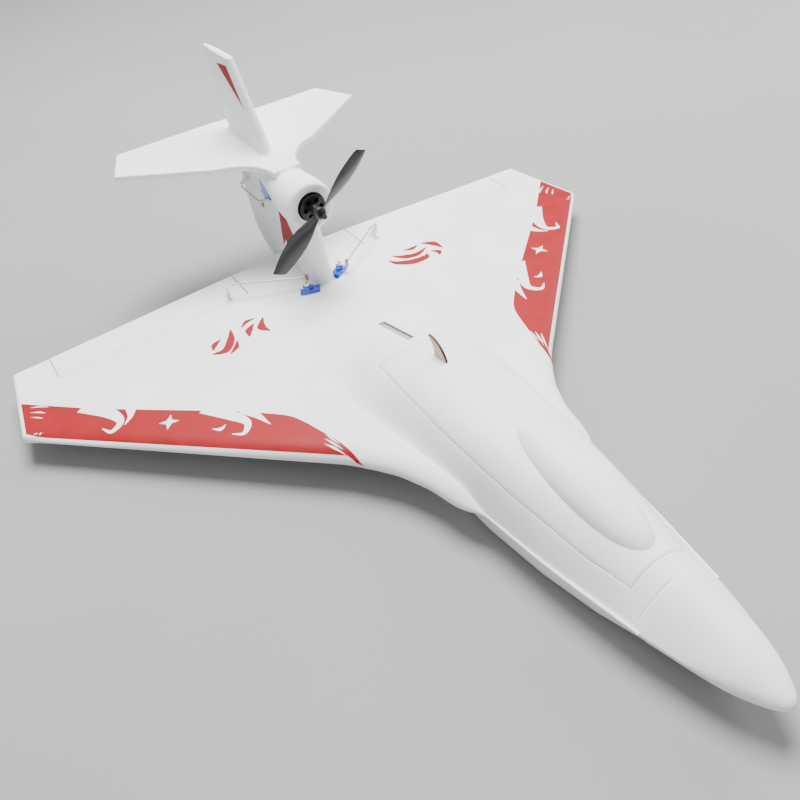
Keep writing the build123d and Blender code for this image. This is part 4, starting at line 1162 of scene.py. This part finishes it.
for side, word in ((1, "port"), (-1, "starboard")):
    place(vinyl_sheet(word + "_edge_band", [band_outline()], band_holes(), on_wing(side)), "airframe", None)
    for number, loop in enumerate(swooshes(side), 1):
        place(vinyl_sheet(f"{word}_brush_mark_{number}", [loop], [], on_wing(side), 5.0), "airframe", None)


def on_tail(side):
    """Lay a side view's (y, z) points on the tail moulding."""
    tree = BVHTree.FromObject(tail, bpy.context.evaluated_depsgraph_get())

    def lay(a, b):
        hit, normal, _, _ = tree.ray_cast(Vector((side * 0.2, a * MM, b * MM)), Vector((-side, 0, 0)))
        if hit is None:
            return Vector((side * 6, a, b)), Vector((side, 0, 0))
        if normal.x * side < 0:
            normal = -normal
        return hit / MM, normal
    return lay


FIN_FLASH = [(446, 308), (411, 311), (379, 262)]
MAST_FLASH = [(331, 137), (314, 137), (292, 110), (309, 93), (328, 81), (329, 89), (344, 72), (340, 98)]
for side, word in ((1, "port"), (-1, "starboard")):
    lay = on_tail(side)
    for flash, outline in (("_fin_flash", FIN_FLASH), ("_mast_flash", MAST_FLASH)):
        place(vinyl_sheet(word + flash, [outline], [], lay, 5.0), "airframe", None)


# ---------------------------------------------------------------- motor ----
PROP_Y = (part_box("propeller")[0].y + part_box("propeller")[1].y) / 2 / MM
PROP_R, PROP_PITCH, PROP_REST_ANGLE = 97.0, 112.0, -40.0
# share of the radius, chord
BLADE = [(0.05, 9.0), (0.10, 10.0), (0.16, 12.5), (0.24, 16.5), (0.34, 21.0), (0.46, 24.0), (0.58, 24.6),
         (0.70, 23.4), (0.80, 21.0), (0.88, 18.4), (0.94, 16.0), (0.975, 14.6), (1.0, 13.2)]
# distance along the shaft, radius
HUB = [(-4.0, 6.6), (-3.4, 7.6), (-1.0, 8.0), (2.6, 8.0), (3.6, 7.7), (4.0, 7.0)]


def blade_ring(share, chord, count=28):
    """A cambered, twisted section. Near the tip its rear edge is set back, which slants the square tip."""
    r = PROP_R * share
    pitch = math.atan2(PROP_PITCH, 2 * math.pi * max(r, 14.0)) * 0.95
    thick = 3.6 - 2.6 * share
    set_back = 7.0 * max(0.0, share - 0.9) / 0.1
    ring = []
    for k in range(count):
        a = 2 * math.pi * k / count
        c = 0.5 * math.cos(a)
        raised = 0.5 * thick * math.sin(a) * (1 - 0.35 * math.cos(a)) + 0.06 * chord * (1 - 4 * c * c)
        along = (c - 0.06) * chord
        y = -along * math.sin(pitch) - raised * math.cos(pitch)
        z = along * math.cos(pitch) - raised * math.sin(pitch)
        ring.append((r - (c + 0.5) * set_back, y, z))
    return ring


def propeller():
    """Two moulded blades on a round hub."""
    body = loft("propeller_moulding", [ring_about_y(y, r, 0, 40) for y, r in HUB], BLACK)
    for side in (1, -1):
        rings = [[(side * x, y, side * z) for x, y, z in blade_ring(*station)] for station in BLADE]
        boolean(body, loft("blade", rings, BLACK), "UNION")
    rest = Matrix.Rotation(math.radians(PROP_REST_ANGLE), 4, "Y")
    body.data.transform(Matrix.Translation((0, PROP_Y * MM, THRUST_Z * MM)) @ rest)
    return soft(body, 40)


place(propeller(), "rotor", "prop_black", "propeller")


def latch_tab():
    """Ply finger tab with the dark edge that laser cutting leaves."""
    tab = twin(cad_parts["latch_tab"], "latch_tab_ply")
    tab.data.materials.clear()
    tab.data.materials.append(PLY)
    tab.data.materials.append(BURNT)
    for face in tab.data.polygons:
        face.material_index = 0 if abs(face.normal.x) > 0.9 else 1
    return tab


place(latch_tab(), "hatch_lid", "plywood", "latch_tab")


# ------------------------------------------------- finishes of the frame ----
FINISHES = {
    "deck_magnets": MAGNET, "hatch_magnets": MAGNET, "wing_spar": CARBON, "stab_spar": CARBON,
    "motor_mount": BELL, "mount_screws": STEEL, "motor_stator": WINDING, "motor_bell": BELL,
    "prop_adapter": GREY_METAL, "prop_nut": BELL, "battery_tray": PLY, "battery": WRAP,
    "battery_strap": STRAP, "speed_controller": BOARD, "receiver": BOARD,
}
for name in ("port_aileron", "starboard_aileron", "rudder", "elevator"):
    FINISHES[name + "_servo"] = BLUE
    FINISHES[name + "_servo_arm"] = ARM_WHITE
    FINISHES[name + "_horn"] = ARM_WHITE
    FINISHES[name + "_arm_screw"] = STEEL
    FINISHES[name + "_pushrod"] = STEEL
    FINISHES[name + "_rod_stopper"] = BRASS
for node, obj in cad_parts.items():
    if obj.hide_render:
        continue
    if node not in FINISHES:
        raise RuntimeError("no finish for " + node)
    obj.data.materials.clear()
    obj.data.materials.append(FINISHES[node])


# ---------------------------------------------------------------- stage ----
def stage():
    """A plain pale floor, 12 m across."""
    floor = bpy.data.meshes.new("floor")
    floor.from_pydata([(-6, -6, 0), (6, -6, 0), (6, 6, 0), (-6, 6, 0)], [], [(0, 1, 2, 3)])
    obj = bpy.data.objects.new("floor", floor)
    bpy.context.scene.collection.objects.link(obj)
    m = Nodes("floor_paper")
    cloud = m.noise(1.2, 3.0)
    m.colour(m.ramp(cloud, "Fac", [(0.3, (0.27, 0.27, 0.262)), (0.7, (0.30, 0.30, 0.292))]))
    m.set(rough=0.9)
    floor.materials.append(m.mat)
    obj.location.z = -0.001


def lamp(name, where, target, size, power):
    """A soft round lamp, aimed at a point."""
    data = bpy.data.lights.new(name, "AREA")
    data.shape, data.size, data.energy = "DISK", size, power
    obj = bpy.data.objects.new(name, data)
    bpy.context.scene.collection.objects.link(obj)
    obj.location = where
    obj.rotation_mode = "QUATERNION"
    obj.rotation_quaternion = (Vector(target) - Vector(where)).to_track_quat("-Z", "Y")


stage()
lamp("sky", (0.5, 1.1, 3.1), (0, 0, 0), 2.2, 330)
lamp("side", (2.6, 0.4, 1.5), (0, 0, 0.1), 1.4, 52)
lamp("front", (-1.6, -2.6, 1.7), (0, 0, 0.1), 1.8, 16)
world = bpy.data.worlds.new("studio")
world.use_nodes = True
background = world.node_tree.nodes["Background"]
background.inputs["Color"].default_value = (0.93, 0.96, 1.0, 1)
background.inputs["Strength"].default_value = 0.62
bpy.context.scene.world = world
